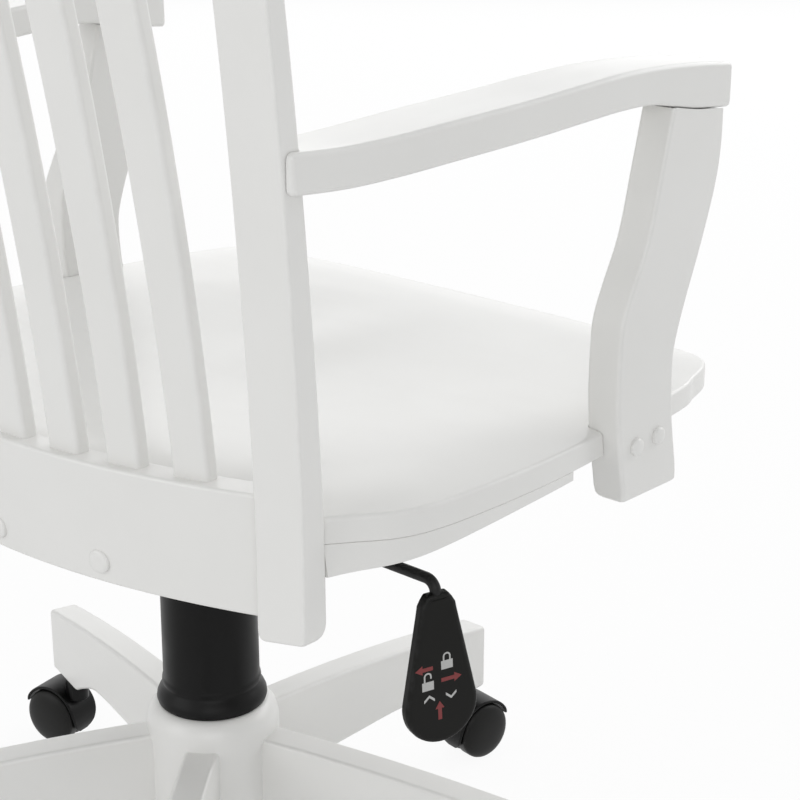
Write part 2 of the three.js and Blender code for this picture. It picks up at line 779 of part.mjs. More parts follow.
// Tilt mechanism. A side view outline is extruded across the chair.
function acrossChair(outline, width) {
  const shape = new THREE.Shape(outline.map(([y, z]) => new THREE.Vector2(y, z)));
  const body = new THREE.ExtrudeGeometry(shape, { depth: width, bevelEnabled: false });
  const basis = new THREE.Matrix4().makeBasis(
    new THREE.Vector3(0, 1, 0), new THREE.Vector3(0, 0, 1), new THREE.Vector3(1, 0, 0),
  );
  return body.applyMatrix4(basis).translate(-width / 2, 0, 0);
}

function crossRod(radius, halfLength, y, z, segments = small) {
  return rod(radius, -halfLength, halfLength, segments).rotateY(Math.PI / 2).translate(0, y, z);
}

const pivotY = -pivotForward;
const pivotHole = pivotRadius + fit;
const lipBottom = housingBottom + springSpan + knobHeight * 0.2;

function housing() {
  const frontWall = -housingFront;
  const outline = [
    [frontWall, lipBottom], [-boltForward + 2 * boltHole, lipBottom],
    [-boltForward + 3.4 * boltHole, housingBottom], [housingRear - 2 * housingFloor, housingBottom],
    [housingRear, housingBottom + 2 * housingFloor], [housingRear, housingTopRear],
    [0, (housingTopFront + housingTopRear) / 2 + housingFloor], [pivotY, housingTopFront],
    [frontWall, housingTopFront - 2 * housingFloor],
  ];
  const inside = [
    [frontWall + housingWall, lipBottom + housingFloor],
    [-boltForward + 2.4 * boltHole, lipBottom + housingFloor],
    [-boltForward + 3.8 * boltHole, housingBottom + housingFloor],
    [housingRear - housingWall, housingBottom + housingFloor],
    [housingRear - housingWall, housingTopFront + overrun],
    [frontWall + housingWall, housingTopFront + overrun],
  ];
  const shell = cut(acrossChair(outline, 2 * housingHalfWidth),
    acrossChair(inside, 2 * (housingHalfWidth - housingWall)));
  const boss = rod(bossRadius, housingBottom + 0.5 * housingFloor, bossTop, 20);
  const coneBore = turned([
    [0, housingBottom - overrun], [rodRadius + fit, housingBottom - overrun],
    [rodRadius + fit, housingBottom], [rodRadius - coneTaper + fit, rodTop],
    [rodRadius - coneTaper + fit, rodTop + overrun], [0, rodTop + overrun],
  ], 20);
  const leverWindow = crossRod(leverHole, housingWall * 2, leverBack, leverHeight, 14);
  leverWindow.translate(-housingHalfWidth, 0, 0);
  const boltWindow = rod(boltHole, lipBottom - overrun, lipBottom + 2 * housingFloor, 14);
  boltWindow.translate(0, -boltForward - 0.2 * boltHole, 0);
  const pinBore = crossRod(pivotHole, housingHalfWidth + overrun, pivotY, pivotHeight);
  return cut(join(shell, boss), coneBore, leverWindow, boltWindow, pinBore);
}
piece('tilt_housing', housing(), blackMetal);

const plateTop = seatHeight - seatThickness - fit;
const plateBottom = plateTop - plateThickness;
const flangeInner = housingHalfWidth + flangeGap;
const pinHalf = flangeInner + plateThickness + headHeight;
piece('tilt_pin', join(
  crossRod(pivotRadius, pinHalf, pivotY, pivotHeight),
  crossRod(1.5 * pivotRadius, 0.5 * headHeight, pivotY, pivotHeight)
    .translate(-pinHalf, 0, 0),
  crossRod(1.5 * pivotRadius, 0.5 * headHeight, pivotY, pivotHeight)
    .translate(pinHalf, 0, 0),
), steel);

function seatPlate() {
  const flat = board([
    [-plateHalfWidth, -1], [-0.8 * plateHalfWidth, -1.12], [0.8 * plateHalfWidth, -1.12],
    [plateHalfWidth, -1], [plateHalfWidth, 1], [0.6 * plateHalfWidth, 1], [-0.6 * plateHalfWidth, 1],
    [-plateHalfWidth, 1],
  ].map(([x, y]) => new THREE.Vector2(x, y * plateHalfLength - plateBack)), plateThickness, 0);
  flat.translate(0, 0, plateBottom);
  const flange = [
    [-flangeHalfLength, plateBottom + 0.5 * plateThickness],
    [-0.6 * flangeHalfLength, plateBottom - flangeHeight], [0.6 * flangeHalfLength, plateBottom - flangeHeight],
    [flangeHalfLength, plateBottom + 0.5 * plateThickness],
  ].map(([y, z]) => [y + pivotY, z]);
  const sides = [-1, 1].map((side) => acrossChair(flange, plateThickness)
    .translate(side * (flangeInner + plateThickness / 2), 0, 0));
  const pinBore = crossRod(pivotHole, pinHalf + overrun, pivotY, pivotHeight);
  const boltBore = rod(boltRadius + fit, plateBottom - overrun, plateTop + overrun);
  boltBore.translate(0, -boltForward, 0);
  return cut(join(flat, ...sides), pinBore, boltBore);
}
piece('seat_plate', seatPlate(), blackMetal);

// Tension bolt hangs from the seat plate. The knob below it squeezes the tilt spring.
const springTop = lipBottom - fit;
const springBottom = springTop - springSpan;
const knobTop = springBottom - fit;
const boltLow = knobTop - 0.5 * knobHeight;
const bolt = join(rod(boltRadius, boltLow, plateTop - fit), rod(1.6 * boltRadius,
  plateBottom - fit - headHeight, plateBottom - fit, 6));
piece('tension_bolt', bolt.translate(0, -boltForward, 0), steel);

function knob() {
  const rings = [];
  const count = knobLobes * 3;
  const ring = (radius, z, lobes) => Array.from({ length: count }, (_, i) => {
    const angle = 2 * Math.PI * i / count;
    const r = radius - lobes * (1 + Math.cos(knobLobes * angle)) / 2;
    return new THREE.Vector3(r * Math.cos(angle), r * Math.sin(angle), z);
  });
  rings.push(ring(0.45 * knobRadius, knobTop, 0), ring(0.62 * knobRadius, knobTop - 0.3 * knobHeight, 0));
  rings.push(ring(0.93 * knobRadius, knobTop - 0.38 * knobHeight, 0.6 * knobLobeDepth));
  rings.push(ring(knobRadius, knobTop - 0.5 * knobHeight, knobLobeDepth));
  rings.push(ring(knobRadius, knobTop - 0.9 * knobHeight, knobLobeDepth));
  rings.push(ring(0.9 * knobRadius, knobTop - knobHeight, 0.5 * knobLobeDepth));
  const bore = rod(boltRadius + fit, boltLow - fit, knobTop + overrun);
  return cut(loft(rings), bore).translate(0, -boltForward, 0);
}
piece('tension_knob', knob(), blackPlastic);

function spring() {
  const steps = springTurns * 8;
  const rings = [];
  const travel = springSpan - 2 * springWire;
  for (let i = 0; i <= steps; i += 1) {
    const angle = 2 * Math.PI * springTurns * i / steps;
    const outward = new THREE.Vector3(Math.cos(angle), Math.sin(angle), 0);
    const centre = outward.clone().multiplyScalar(springRadius);
    centre.z = springBottom + springWire + travel * i / steps;
    const up = new THREE.Vector3(0, 0, 1);
    rings.push(Array.from({ length: 5 }, (_, k) => {
      const around = 2 * Math.PI * k / 5;
      return centre.clone().addScaledVector(outward, springWire * Math.cos(around))
        .addScaledVector(up, springWire * Math.sin(around));
    }));
  }
  return loft(rings).translate(0, -boltForward, 0);
}
piece('tilt_spring', spring(), steel);

// Release arm: a socket for the lever's rod, and a finger over the valve pin
function releaseArm() {
  const fingerTop = rodTop + pinProud + fit + armPlate;
  const outline = [
    [-leverPivot - socketLength / 2, leverHeight - socketRadius],
    [-leverPivot + socketLength / 2, leverHeight - socketRadius],
    [-leverPivot + socketLength / 2, leverHeight + socketRadius],
    [-bossRadius - 2 * armPlate, leverHeight + 2 * socketRadius],
    [-bossRadius - 1.5 * armPlate, fingerTop - 2 * armPlate], [-bossRadius, fingerTop - armPlate],
    [2 * pinRadius, fingerTop - armPlate], [2 * pinRadius, fingerTop],
    [-bossRadius - armPlate, fingerTop], [-bossRadius - 3.2 * armPlate, fingerTop - 2 * armPlate],
    [-leverPivot - socketLength / 2, leverHeight + socketRadius],
  ];
  const shape = new THREE.Shape(outline.map(([x, z]) => new THREE.Vector2(x, z)));
  const plate = new THREE.ExtrudeGeometry(shape, { depth: armPlateWidth, bevelEnabled: false });
  plate.rotateX(Math.PI / 2).translate(0, armPlateWidth / 2 + leverBack, 0);
  const bore = crossRod(leverRadius + fit, socketLength, leverBack, leverHeight);
  bore.translate(-leverPivot - socketLength / 2 - armPlate, 0, 0);
  return cut(plate, bore);
}
piece('release_arm', releaseArm(), blackMetal);

const paddleTop = leverHeight - 0.98 * leverBend;
class LeverPath extends THREE.Curve {
  getPoint(t, target = new THREE.Vector3()) {
    const start = -leverPivot - socketLength / 2 + armPlate;
    const straight = leverReach - leverBend + start;
    const bend = leverBend * Math.PI / 2;
    const down = leverHeight - leverBend - paddleTop + 1.5 * paddleNeckLength;
    const travel = t * (straight + bend + down);
    if (travel < straight) return target.set(start - travel, leverBack, leverHeight);
    if (travel < straight + bend) {
      const angle = (travel - straight) / leverBend;
      return target.set(-leverReach + leverBend * (1 - Math.sin(angle)), leverBack,
        leverHeight - leverBend * (1 - Math.cos(angle)));
    }
    return target.set(-leverReach, leverBack, leverHeight - leverBend - (travel - straight - bend));
  }
}

function leverRod() {
  const path = new LeverPath();
  const section = new THREE.Shape().absarc(0, 0, leverRadius, 0, 2 * Math.PI);
  return new THREE.ExtrudeGeometry(section, { extrudePath: path, steps: 16, curveSegments: 4 });
}
piece('lever_rod', leverRod(), blackMetal);

// Lever paddle: a teardrop plate under its neck
function paddle() {
  const shape = new THREE.Shape();
  const centreZ = paddleRadius - paddleLength;
  shape.moveTo(-paddleNeck, 0);
  shape.lineTo(-paddleNeck, -paddleNeckLength);
  shape.quadraticCurveTo(-paddleShoulder, -paddleNeckLength, -paddleShoulder - 0.4,
    -1.9 * paddleNeckLength);
  shape.lineTo(-paddleRadius * 0.99, centreZ + 0.14 * paddleRadius);
  shape.absarc(0, centreZ, paddleRadius, Math.PI * 0.955, Math.PI * 2.045, false);
  shape.lineTo(paddleShoulder + 0.4, -1.9 * paddleNeckLength);
  shape.quadraticCurveTo(paddleShoulder, -paddleNeckLength, paddleNeck, -paddleNeckLength);
  shape.lineTo(paddleNeck, 0);
  const plate = board(shape, paddleThickness, paddleEdge).translate(0, 0, -paddleThickness / 2);
  plate.rotateZ(paddleTilt).rotateX(Math.PI / 2).rotateZ(Math.PI / 2 - paddleYaw);
  plate.translate(-leverReach, leverBack, paddleTop);
  const rodRoom = rod(leverRadius + 2 * fit, paddleTop - 1.5 * paddleNeckLength - 2 * fit,
    paddleTop + overrun).translate(-leverReach, leverBack, 0);
  return cut(plate, rodRoom);
}
piece('lever_paddle', paddle(), blackPlastic);

// The origin is the middle of the chair's footprint on the floor
const middle = new THREE.Box3().setFromObject(chair).getCenter(new THREE.Vector3());
chair.position.set(-middle.x, -middle.y, 0);
export default chair;
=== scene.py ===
# %% [markdown]
# # A painted bankers chair, dressed over its CAD frame
#
# The chair's joints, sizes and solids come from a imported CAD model, which stays as it is.
# This lesson gives each visible piece a finer mesh and a finish, so that the chair looks
# like painted wood, moulded plastic and coated metal from every side.
# We work in millimetres, in the frame where the column stands on x = 0, y = 0, and turn
# every point into metres at the last moment, because Blender and the frame are in metres.

# %% Load the frame
import math
import bpy
import bmesh
from mathutils import Matrix, Vector


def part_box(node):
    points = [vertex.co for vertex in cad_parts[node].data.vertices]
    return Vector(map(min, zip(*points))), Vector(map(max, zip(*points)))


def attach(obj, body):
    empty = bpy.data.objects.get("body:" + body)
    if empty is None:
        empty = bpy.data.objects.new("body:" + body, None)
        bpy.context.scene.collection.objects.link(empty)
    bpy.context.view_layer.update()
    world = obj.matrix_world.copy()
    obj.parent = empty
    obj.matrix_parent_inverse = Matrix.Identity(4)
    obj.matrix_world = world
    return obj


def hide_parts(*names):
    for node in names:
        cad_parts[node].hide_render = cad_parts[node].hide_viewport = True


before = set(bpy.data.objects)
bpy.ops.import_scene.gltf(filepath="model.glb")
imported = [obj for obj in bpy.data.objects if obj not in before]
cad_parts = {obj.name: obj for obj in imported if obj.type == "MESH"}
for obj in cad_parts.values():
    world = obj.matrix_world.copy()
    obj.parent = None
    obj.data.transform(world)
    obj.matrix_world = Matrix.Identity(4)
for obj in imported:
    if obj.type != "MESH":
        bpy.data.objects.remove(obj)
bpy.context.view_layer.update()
hub_low, hub_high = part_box("base_hub")
column_x = (hub_low.x + hub_high.x) / 2
column_y = (hub_low.y + hub_high.y) / 2
print("column at", round(column_x, 4), round(column_y, 4))

# %% [markdown]
# ## Camera
#
# The photograph was taken from behind the chair and to its right, looking down at the
# seat. A long lens and no shift repeat its straight lines. The angles were solved from
# the edges of the chair in the photograph, which is more exact than framing by eye.

# %% Camera
camera_data = bpy.data.cameras.new("camera")
camera_data.lens = 84.24
camera_data.sensor_width = 36
camera_data.clip_start = 0.05
camera = bpy.data.objects.new("camera", camera_data)
camera.location = (column_x - 0.94732, column_y + 0.82394, 0.83957)
camera.rotation_euler = (math.radians(70.98), 0, math.radians(222.59))
bpy.context.scene.collection.objects.link(camera)
bpy.context.scene.camera = camera

# %% [markdown]
# ## From millimetres to a mesh
#
# Every piece passes through one helper. It also stores two attributes on the points that
# the finishes read later: `grain_place`, the place in the piece's own wood with the grain
# along its first number, and `edge_share`, which is 1 in the middle of a rounded edge.
# An attribute is better than UVs here, because it doesn't stretch and needs no unwrapping.

# %% Mesh helper
X = Vector((1, 0, 0))
Y = Vector((0, 1, 0))
Z = Vector((0, 0, 1))
SHARP = 38
GRAIN_SHIFTS = (0.37, 0.91, 0.53)
made = []


def lerp(a, b, t):
    return a + (b - a) * t


def wave(t):
    return t * t * (3 - 2 * t)


class Form:
    """Points, faces and edge shares of a piece, in millimetres."""

    def __init__(self):
        self.points = []
        self.faces = []
        self.edge = []

    def ring(self, points, edge=None):
        first = len(self.points)
        self.points += [Vector(p) for p in points]
        self.edge += edge or [0.0] * len(points)
        return list(range(first, first + len(points)))

    def loft(self, rings, capped=True):
        for a, b in zip(rings, rings[1:]):
            for i in range(len(a)):
                j = (i + 1) % len(a)
                self.faces.append((a[i], a[j], b[j], b[i]))
        if capped:
            self.faces += [tuple(reversed(rings[0])), tuple(rings[-1])]
        return self

    def add(self, other, matrix=Matrix()):
        first = len(self.points)
        self.points += [matrix @ p for p in other.points]
        self.edge += other.edge
        self.faces += [tuple(first + i for i in face) for face in other.faces]
        return self

    def moved(self, matrix):
        return Form().add(self, matrix)

    def mirrored(self):
        return self.moved(Matrix.Scale(-1, 4, X))


def to_frame(p):
    return p.x / 1000 + column_x, p.y / 1000 + column_y, p.z / 1000


def mesh_of(name, form):
    mesh = bpy.data.meshes.new(name)
    mesh.from_pydata([to_frame(p) for p in form.points], [], form.faces)
    mesh.validate()
    work = bmesh.new()
    work.from_mesh(mesh)
    bmesh.ops.recalc_face_normals(work, faces=work.faces)
    work.to_mesh(mesh)
    work.free()
    return mesh


def make_piece(name, form, body, finish, replaces=(), grain=(X, Y, Z), sharp=SHARP):
    mesh = mesh_of(name, form)
    offset = Vector([len(made) * shift % 3 for shift in GRAIN_SHIFTS])
    places = []
    for vertex in mesh.vertices:
        places += [vertex.co.dot(axis) + shift for axis, shift in zip(grain, offset)]
    mesh.attributes.new("grain_place", "FLOAT_VECTOR", "POINT")
    mesh.attributes["grain_place"].data.foreach_set("vector", places)
    mesh.attributes.new("edge_share", "FLOAT", "POINT")
    mesh.attributes["edge_share"].data.foreach_set("value", form.edge)
    mesh.shade_smooth()
    mesh.set_sharp_from_angle(angle=math.radians(sharp))
    mesh.materials.append(finish)
    obj = bpy.data.objects.new(name, mesh)
    bpy.context.scene.collection.objects.link(obj)
    weighted = obj.modifiers.new("even_shading", "WEIGHTED_NORMAL")
    weighted.keep_sharp = True
    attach(obj, body)
    if replaces:
        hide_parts(*replaces)
    made.append(obj)


# %% [markdown]
# ## Shapes that a joiner would know
#
# Most of the chair is bars with rounded corners, boards with softened edges and turned
# parts. Each has one helper. Real geometry for the rounding catches the light along every
# edge, which a bevel in the shader wouldn't.

# %% Bars, boards and turned parts
CORNER_STEPS = 5


def bar_ring(form, centre, u, v, width, depth, edge):
    points = []
    shares = []
    for sx, sy, quarter in ((1, 1, 0), (-1, 1, 1), (-1, -1, 2), (1, -1, 3)):
        for k in range(CORNER_STEPS):
            angle = (quarter + k / (CORNER_STEPS - 1)) * math.pi / 2
            across = sx * (width / 2 - edge) + edge * math.cos(angle)
            along = sy * (depth / 2 - edge) + edge * math.sin(angle)
            points.append(centre + u * across + v * along)
            shares.append(math.sin(math.pi * k / (CORNER_STEPS - 1)))
    return form.ring(points, shares)


def bar(sections):
    """Bar through sections, each a centre, two directions, the sizes along them and an edge."""
    form = Form()
    return form.loft([bar_ring(form, *section) for section in sections])


def end_places(low, high, soft, steps):
    """Places along a bar, with how far its section shrinks at each to round both ends."""
    bends = [t * math.pi / 2 for t in (0, 0.18, 0.42, 0.7, 1)]
    ends = [(soft * (1 - math.sin(bend)), soft * (1 - math.cos(bend))) for bend in bends]
    middle = [(lerp(low + soft, high - soft, i / steps), 0) for i in range(1, steps)]
    return ([(low + gap, shrink) for gap, shrink in reversed(ends)] + middle
            + [(high - gap, shrink) for gap, shrink in ends])


def spline(points, steps):
    """Smooth curve through points, with steps places between each two."""
    points = [Vector(p) for p in points]
    ends = [points[0] * 2 - points[1]] + points + [points[-1] * 2 - points[-2]]
    out = []
    for a, b, c, d in zip(ends, ends[1:], ends[2:], ends[3:]):
        for k in range(steps):
            t = k / steps
            out.append(0.5 * (2 * b + (c - a) * t + (2 * a - 5 * b + 4 * c - d) * t * t
                              + (3 * b - a - 3 * c + d) * t ** 3))
    return out + [points[-1]]


def soft_corners(points, radius):
    """Outline whose sharp corners are turned into small arcs."""
    points = [Vector(p) for p in points]
    out = []
    count = len(points)
    for i, p in enumerate(points):
        before = points[i - 1] - p
        after = points[(i + 1) % count] - p
        if min(before.length, after.length) < 1e-6 or before.angle(after) > math.radians(150):
            out.append(p)
            continue
        reach = min(radius, 0.45 * before.length, 0.45 * after.length)
        start = p + before.normalized() * reach
        end = p + after.normalized() * reach
        for t in (0, 1 / 3, 2 / 3, 1):
            out.append(start.lerp(p, t).lerp(p.lerp(end, t), t))
    return out


def inset(outline, amount):
    """Outline moved inwards along its corner normals. It runs anticlockwise."""
    out = []
    count = len(outline)
    for i, p in enumerate(outline):
        before = (p - outline[i - 1]).normalized()
        after = (outline[(i + 1) % count] - p).normalized()
        normal = Vector((-before.y - after.y, before.x + after.x))
        if normal.length < 1e-6:
            normal = Vector((-before.y, before.x))
        normal.normalize()
        lean = max(0.5, normal.dot(Vector((-before.y, before.x))))
        out.append(p + normal * (amount / lean))
    return out


def anticlockwise(outline):
    area = sum(a.x * b.y - b.x * a.y for a, b in zip(outline, outline[1:] + outline[:1]))
    return outline if area > 0 else outline[::-1]


def arc(radius, angles):
    return [(radius * math.cos(a), radius * math.sin(a)) for a in angles]


def board(outline, thickness, edge, steps=4):
    """Flat board in x and y, its thickness from z = 0, with rounded edges."""
    outline = anticlockwise([Vector((p[0], p[1])) for p in outline])
    form = Form()
    rings = []
    for side in (0, 1):
        turns = range(steps + 1) if side == 0 else range(steps, -1, -1)
        for k in turns:
            turn = k / steps * math.pi / 2
            back = edge * (1 - math.sin(turn))
            rise = edge * (1 - math.cos(turn))
            z = rise if side == 0 else thickness - rise
            share = [math.sin(math.pi * k / steps)] * len(outline)
            rings.append(form.ring([(p.x, p.y, z) for p in inset(outline, back)], share))
    return form.loft(rings)


def turned(profile, segments=72, closed=False, soft=0):
    """Turned part about +Z from (radius, height) pairs."""
    if soft:
        profile = soft_corners(profile, soft)
    form = Form()
    turns = [2 * math.pi * i / segments for i in range(segments)]
    rings = [form.ring([(x, y, height) for x, y in arc(max(radius, 0.01), turns)])
             for radius, height in profile]
    return form.loft(rings + rings[:1], False) if closed else form.loft(rings)


def tube(path, radius, sides):
    """Round bar along a path of points."""
    form = Form()
    rings = []
    up = None
    for i, p in enumerate(path):
        ahead = (path[min(i + 1, len(path) - 1)] - path[max(i - 1, 0)]).normalized()
        up = (up or ahead.orthogonal()).normalized()
        up = (up - ahead * up.dot(ahead)).normalized()
        side = ahead.cross(up)
        rings.append(form.ring([p + radius * (up * math.cos(2 * math.pi * k / sides)
                                              + side * math.sin(2 * math.pi * k / sides))
                                for k in range(sides)]))
    return form.loft(rings)


def on_axes(u, v, w, origin=(0, 0, 0)):
    """Matrix that takes x, y, z of a form to the directions u, v, w."""
    matrix = Matrix((u, v, w)).transposed().to_4x4()
    matrix.translation = Vector(origin)
    return matrix


# %% [markdown]
# ## Shared effects
#
# Three effects turn up in more than one finish, so each is a node group with named inputs
# and outputs. They put out masks and values that change over the surface. The
# shader itself, and every number that is the same all over, stay in the material.

# %% Node helpers
def node(tree, kind, at=(0, 0), **settings):
    made_node = tree.nodes.new(kind)
    made_node.location = at
    inputs = settings.pop("inputs", {})
    for key, value in settings.items():
        setattr(made_node, key, value)
    for key, value in inputs.items():
        made_node.inputs[key].default_value = value
    return made_node


def group_of(name, sockets_in, sockets_out):
    tree = bpy.data.node_groups.new(name, "ShaderNodeTree")
    for label, kind, default in sockets_in:
        socket = tree.interface.new_socket(label, in_out="INPUT", socket_type=kind)
        if default is not None:
            socket.default_value = default
    for label, kind in sockets_out:
        tree.interface.new_socket(label, in_out="OUTPUT", socket_type=kind)
    return (tree, node(tree, "NodeGroupInput", (-900, 0)),
            node(tree, "NodeGroupOutput", (700, 0)))


def join(tree, *pairs):
    for start, end in pairs:
        tree.links.new(start, end)


def wire(tree, *links):
    """Links from a node's output to another node's input, each (node, output, node, input)."""
    for start, output, end, entry in links:
        tree.links.new(start.outputs[output], end.inputs[entry])


# %% [markdown]
# Sprayed paint isn't flat. The wood's pores and growth lines telegraph through the film
# as long shallow ripples, and the film itself dries with a fine orange peel. We stretch
# one noise along the grain and add a round one, and put both out as a height.

# %% Paint film group
film_group, film_in, film_out = group_of(
    "paint_film",
    [("Place", "NodeSocketVector", None), ("Grain Size", "NodeSocketFloat", 9.0),
     ("Peel Size", "NodeSocketFloat", 420.0), ("Peel", "NodeSocketFloat", 0.35)],
    [("Height", "NodeSocketFloat"), ("Grain", "NodeSocketFloat"), ("Cloud", "NodeSocketFloat")])
stretch = node(film_group, "ShaderNodeMapping", (-700, 200), inputs={"Scale": (1, 12, 12)})
growth = node(film_group, "ShaderNodeTexNoise", (-480, 240),
              inputs={"Detail": 5.0, "Roughness": 0.6, "Distortion": 0.25})
peel = node(film_group, "ShaderNodeTexNoise", (-480, -40), inputs={"Detail": 1.0, "Roughness": 0.4})
cloud = node(film_group, "ShaderNodeTexNoise", (-480, -320),
             inputs={"Scale": 11.0, "Detail": 3.0, "Roughness": 0.55})
peel_part = node(film_group, "ShaderNodeMath", (-200, -40), operation="MULTIPLY")
both = node(film_group, "ShaderNodeMath", (60, 120), operation="ADD")
wire(film_group,
     (film_in, "Place", stretch, "Vector"), (stretch, "Vector", growth, "Vector"),
     (film_in, "Grain Size", growth, "Scale"), (film_in, "Place", peel, "Vector"),
     (film_in, "Peel Size", peel, "Scale"), (film_in, "Place", cloud, "Vector"),
     (peel, "Fac", peel_part, 0), (film_in, "Peel", peel_part, 1),
     (growth, "Fac", both, 0), (peel_part, 0, both, 1), (both, 0, film_out, "Height"),
     (growth, "Fac", film_out, "Grain"), (cloud, "Fac", film_out, "Cloud"))

# %% [markdown]
# Edges are handled most. Paint and plastic rub there, in patches and not in an even line,
# and the edges also carry a painted highlight. The group multiplies the stored edge share by
# a noise, so that a material can mix towards its lighter edge colour, part wear and part
# painted highlight, or a smoother surface with one mask.

# %% Edge wear and highlight group
wear_and_highlight_group, wear_and_highlight_in, wear_and_highlight_out = group_of(
    "edge_wear_and_highlight",
    [("Place", "NodeSocketVector", None), ("Patch Size", "NodeSocketFloat", 60.0),
     ("Amount", "NodeSocketFloat", 1.0)],
    [("Mask", "NodeSocketFloat")])
# The mask marks where edges turn lighter: partly rubbed wear, partly a painted highlight.
edge_share = node(wear_and_highlight_group, "ShaderNodeAttribute", (-700, 200), attribute_name="edge_share")
patches = node(wear_and_highlight_group, "ShaderNodeTexNoise", (-480, -40),
               inputs={"Detail": 4.0, "Roughness": 0.6})
steep = node(wear_and_highlight_group, "ShaderNodeMapRange", (-220, -40),
             inputs={"From Min": 0.42, "From Max": 0.68})
masked = node(wear_and_highlight_group, "ShaderNodeMath", (0, 120), operation="MULTIPLY")
scaled = node(wear_and_highlight_group, "ShaderNodeMath", (220, 120), operation="MULTIPLY", use_clamp=True)
wire(wear_and_highlight_group,
     (wear_and_highlight_in, "Place", patches, "Vector"), (wear_and_highlight_in, "Patch Size", patches, "Scale"),
     (patches, "Fac", steep, "Value"), (edge_share, "Fac", masked, 0),
     (steep, "Result", masked, 1), (masked, 0, scaled, 0), (wear_and_highlight_in, "Amount", scaled, 1),
     (scaled, 0, wear_and_highlight_out, "Mask"))

# %% [markdown]
# Moulded plastic carries the spark-eroded texture of its mould, and powder coating dries
# in fine beads. Both are a small cell pattern, softened by a noise.

# %% Fine texture group
fine_group, fine_in, fine_out = group_of(
    "fine_texture",
    [("Place", "NodeSocketVector", None), ("Size", "NodeSocketFloat", 1500.0),
     ("Softness", "NodeSocketFloat", 0.5)],
    [("Height", "NodeSocketFloat"), ("Cloud", "NodeSocketFloat")])
beads = node(fine_group, "ShaderNodeTexVoronoi", (-480, 220), feature="SMOOTH_F1")
beads.inputs["Smoothness"].default_value = 0.8
drift = node(fine_group, "ShaderNodeTexNoise", (-480, -120),
             inputs={"Scale": 34.0, "Detail": 4.0, "Roughness": 0.6})
grit = node(fine_group, "ShaderNodeTexNoise", (-480, 20), inputs={"Detail": 2.0})
fade = node(fine_group, "ShaderNodeMix", (-180, 160), data_type="FLOAT")
wire(fine_group,
     (fine_in, "Place", beads, "Vector"), (fine_in, "Size", beads, "Scale"),
     (fine_in, "Place", grit, "Vector"), (fine_in, "Size", grit, "Scale"),
     (fine_in, "Place", drift, "Vector"), (fine_in, "Softness", fade, "Factor"),
     (beads, "Distance", fade, "A"), (grit, "Fac", fade, "B"),
     (fade, "Result", fine_out, "Height"), (drift, "Fac", fine_out, "Cloud"))

# %% [markdown]
# ## Finishes
#
# The chair is sprayed in a warm white satin lacquer. Its colour is written about as it
# looks in plain light. A CAD node has no stored attributes, so metal finishes read the
# object's own coordinates, and the painted pieces read `grain_place`.

# %% Material helpers
def finish_of(name, colour, roughness, metallic=0.0, specular=0.5):
    material = bpy.data.materials.new(name)
    material.use_nodes = True
    tree = material.node_tree
    shader = tree.nodes["Principled BSDF"]
    for key, value in (("Base Color", (*colour, 1)), ("Roughness", roughness),
                       ("Metallic", metallic), ("Specular IOR Level", specular), ("IOR", 1.5)):
        shader.inputs[key].default_value = value
    return material, tree, shader


def placed_group(tree, group, at, place, **values):
    made_node = node(tree, "ShaderNodeGroup", at, node_tree=group)
    for key, value in values.items():
        made_node.inputs[key.replace("_", " ")].default_value = value
    join(tree, (place, made_node.inputs["Place"]))
    return made_node


def span(tree, value, low, high, at):
    """A noise, which mostly stays between 0.3 and 0.7, spread over low to high."""
    made_node = node(tree, "ShaderNodeMapRange", at,
                     inputs={"From Min": 0.3, "From Max": 0.7, "To Min": low, "To Max": high})
    join(tree, (value, made_node.inputs["Value"]))
    return made_node.outputs["Result"]


def blend_colours(tree, mask, first, second, at):
    mix = node(tree, "ShaderNodeMix", at, data_type="RGBA")
    for key, value in (("A", first), ("B", second)):
        socket = [s for s in mix.inputs if s.name == key and s.type == "RGBA"][0]
        if isinstance(value, tuple):
            socket.default_value = (*value, 1)
        else:
            join(tree, (value, socket))
    join(tree, (mask, mix.inputs["Factor"]))
    return [s for s in mix.outputs if s.type == "RGBA"][0]


def surface(tree, shader, colour, height, strength, distance, gloss=None):
    """Feeds a shader with what its finish has mixed, the height through a bump."""
    raised = node(tree, "ShaderNodeBump", (-220, -260),
                  inputs={"Strength": strength, "Distance": distance})
    join(tree, (colour, shader.inputs["Base Color"]), (height, raised.inputs["Height"]),
         (raised.outputs["Normal"], shader.inputs["Normal"]))
    if gloss:
        join(tree, (gloss, shader.inputs["Roughness"]))


# %% [markdown]
# White lacquer: the colour moves by a percent or two between thick and thin spots, and
# the grain shows in the gloss more than in the colour. Edges are a touch brighter, a painted
# highlight.

# %% White lacquer
def white_lacquer(name, colour, thin_colour, painted_edge_highlight):
    roughness = 0.3
    material, tree, shader = finish_of(name, colour, roughness)
    place = node(tree, "ShaderNodeAttribute", (-1300, 0),
                 attribute_name="grain_place").outputs["Vector"]
    film = placed_group(tree, film_group, (-1000, 100), place,
                        Grain_Size=9.0, Peel_Size=300.0, Peel=0.5)
    wear_highlight = placed_group(tree, wear_and_highlight_group, (-1000, -240), place, Patch_Size=46.0, Amount=0.3)
    clouded = span(tree, film.outputs["Cloud"], 0.0, 0.55, (-700, 260))
    tone = blend_colours(tree, clouded, colour, thin_colour, (-460, 260))
    # The edges mix towards a brighter white, a painted highlight along them.
    edged = blend_colours(tree, wear_highlight.outputs["Mask"], tone, painted_edge_highlight, (-220, 200))
    gloss = span(tree, film.outputs["Grain"], roughness - 0.02, roughness + 0.03, (-460, -60))
    surface(tree, shader, edged, film.outputs["Height"], 0.02, 0.0002, gloss)
    return material


# The last colour is the brighter one along the edges, a painted highlight.
painted_wood = white_lacquer("painted_wood", (0.80, 0.795, 0.775), (0.765, 0.76, 0.738),
                             (0.9, 0.895, 0.875))
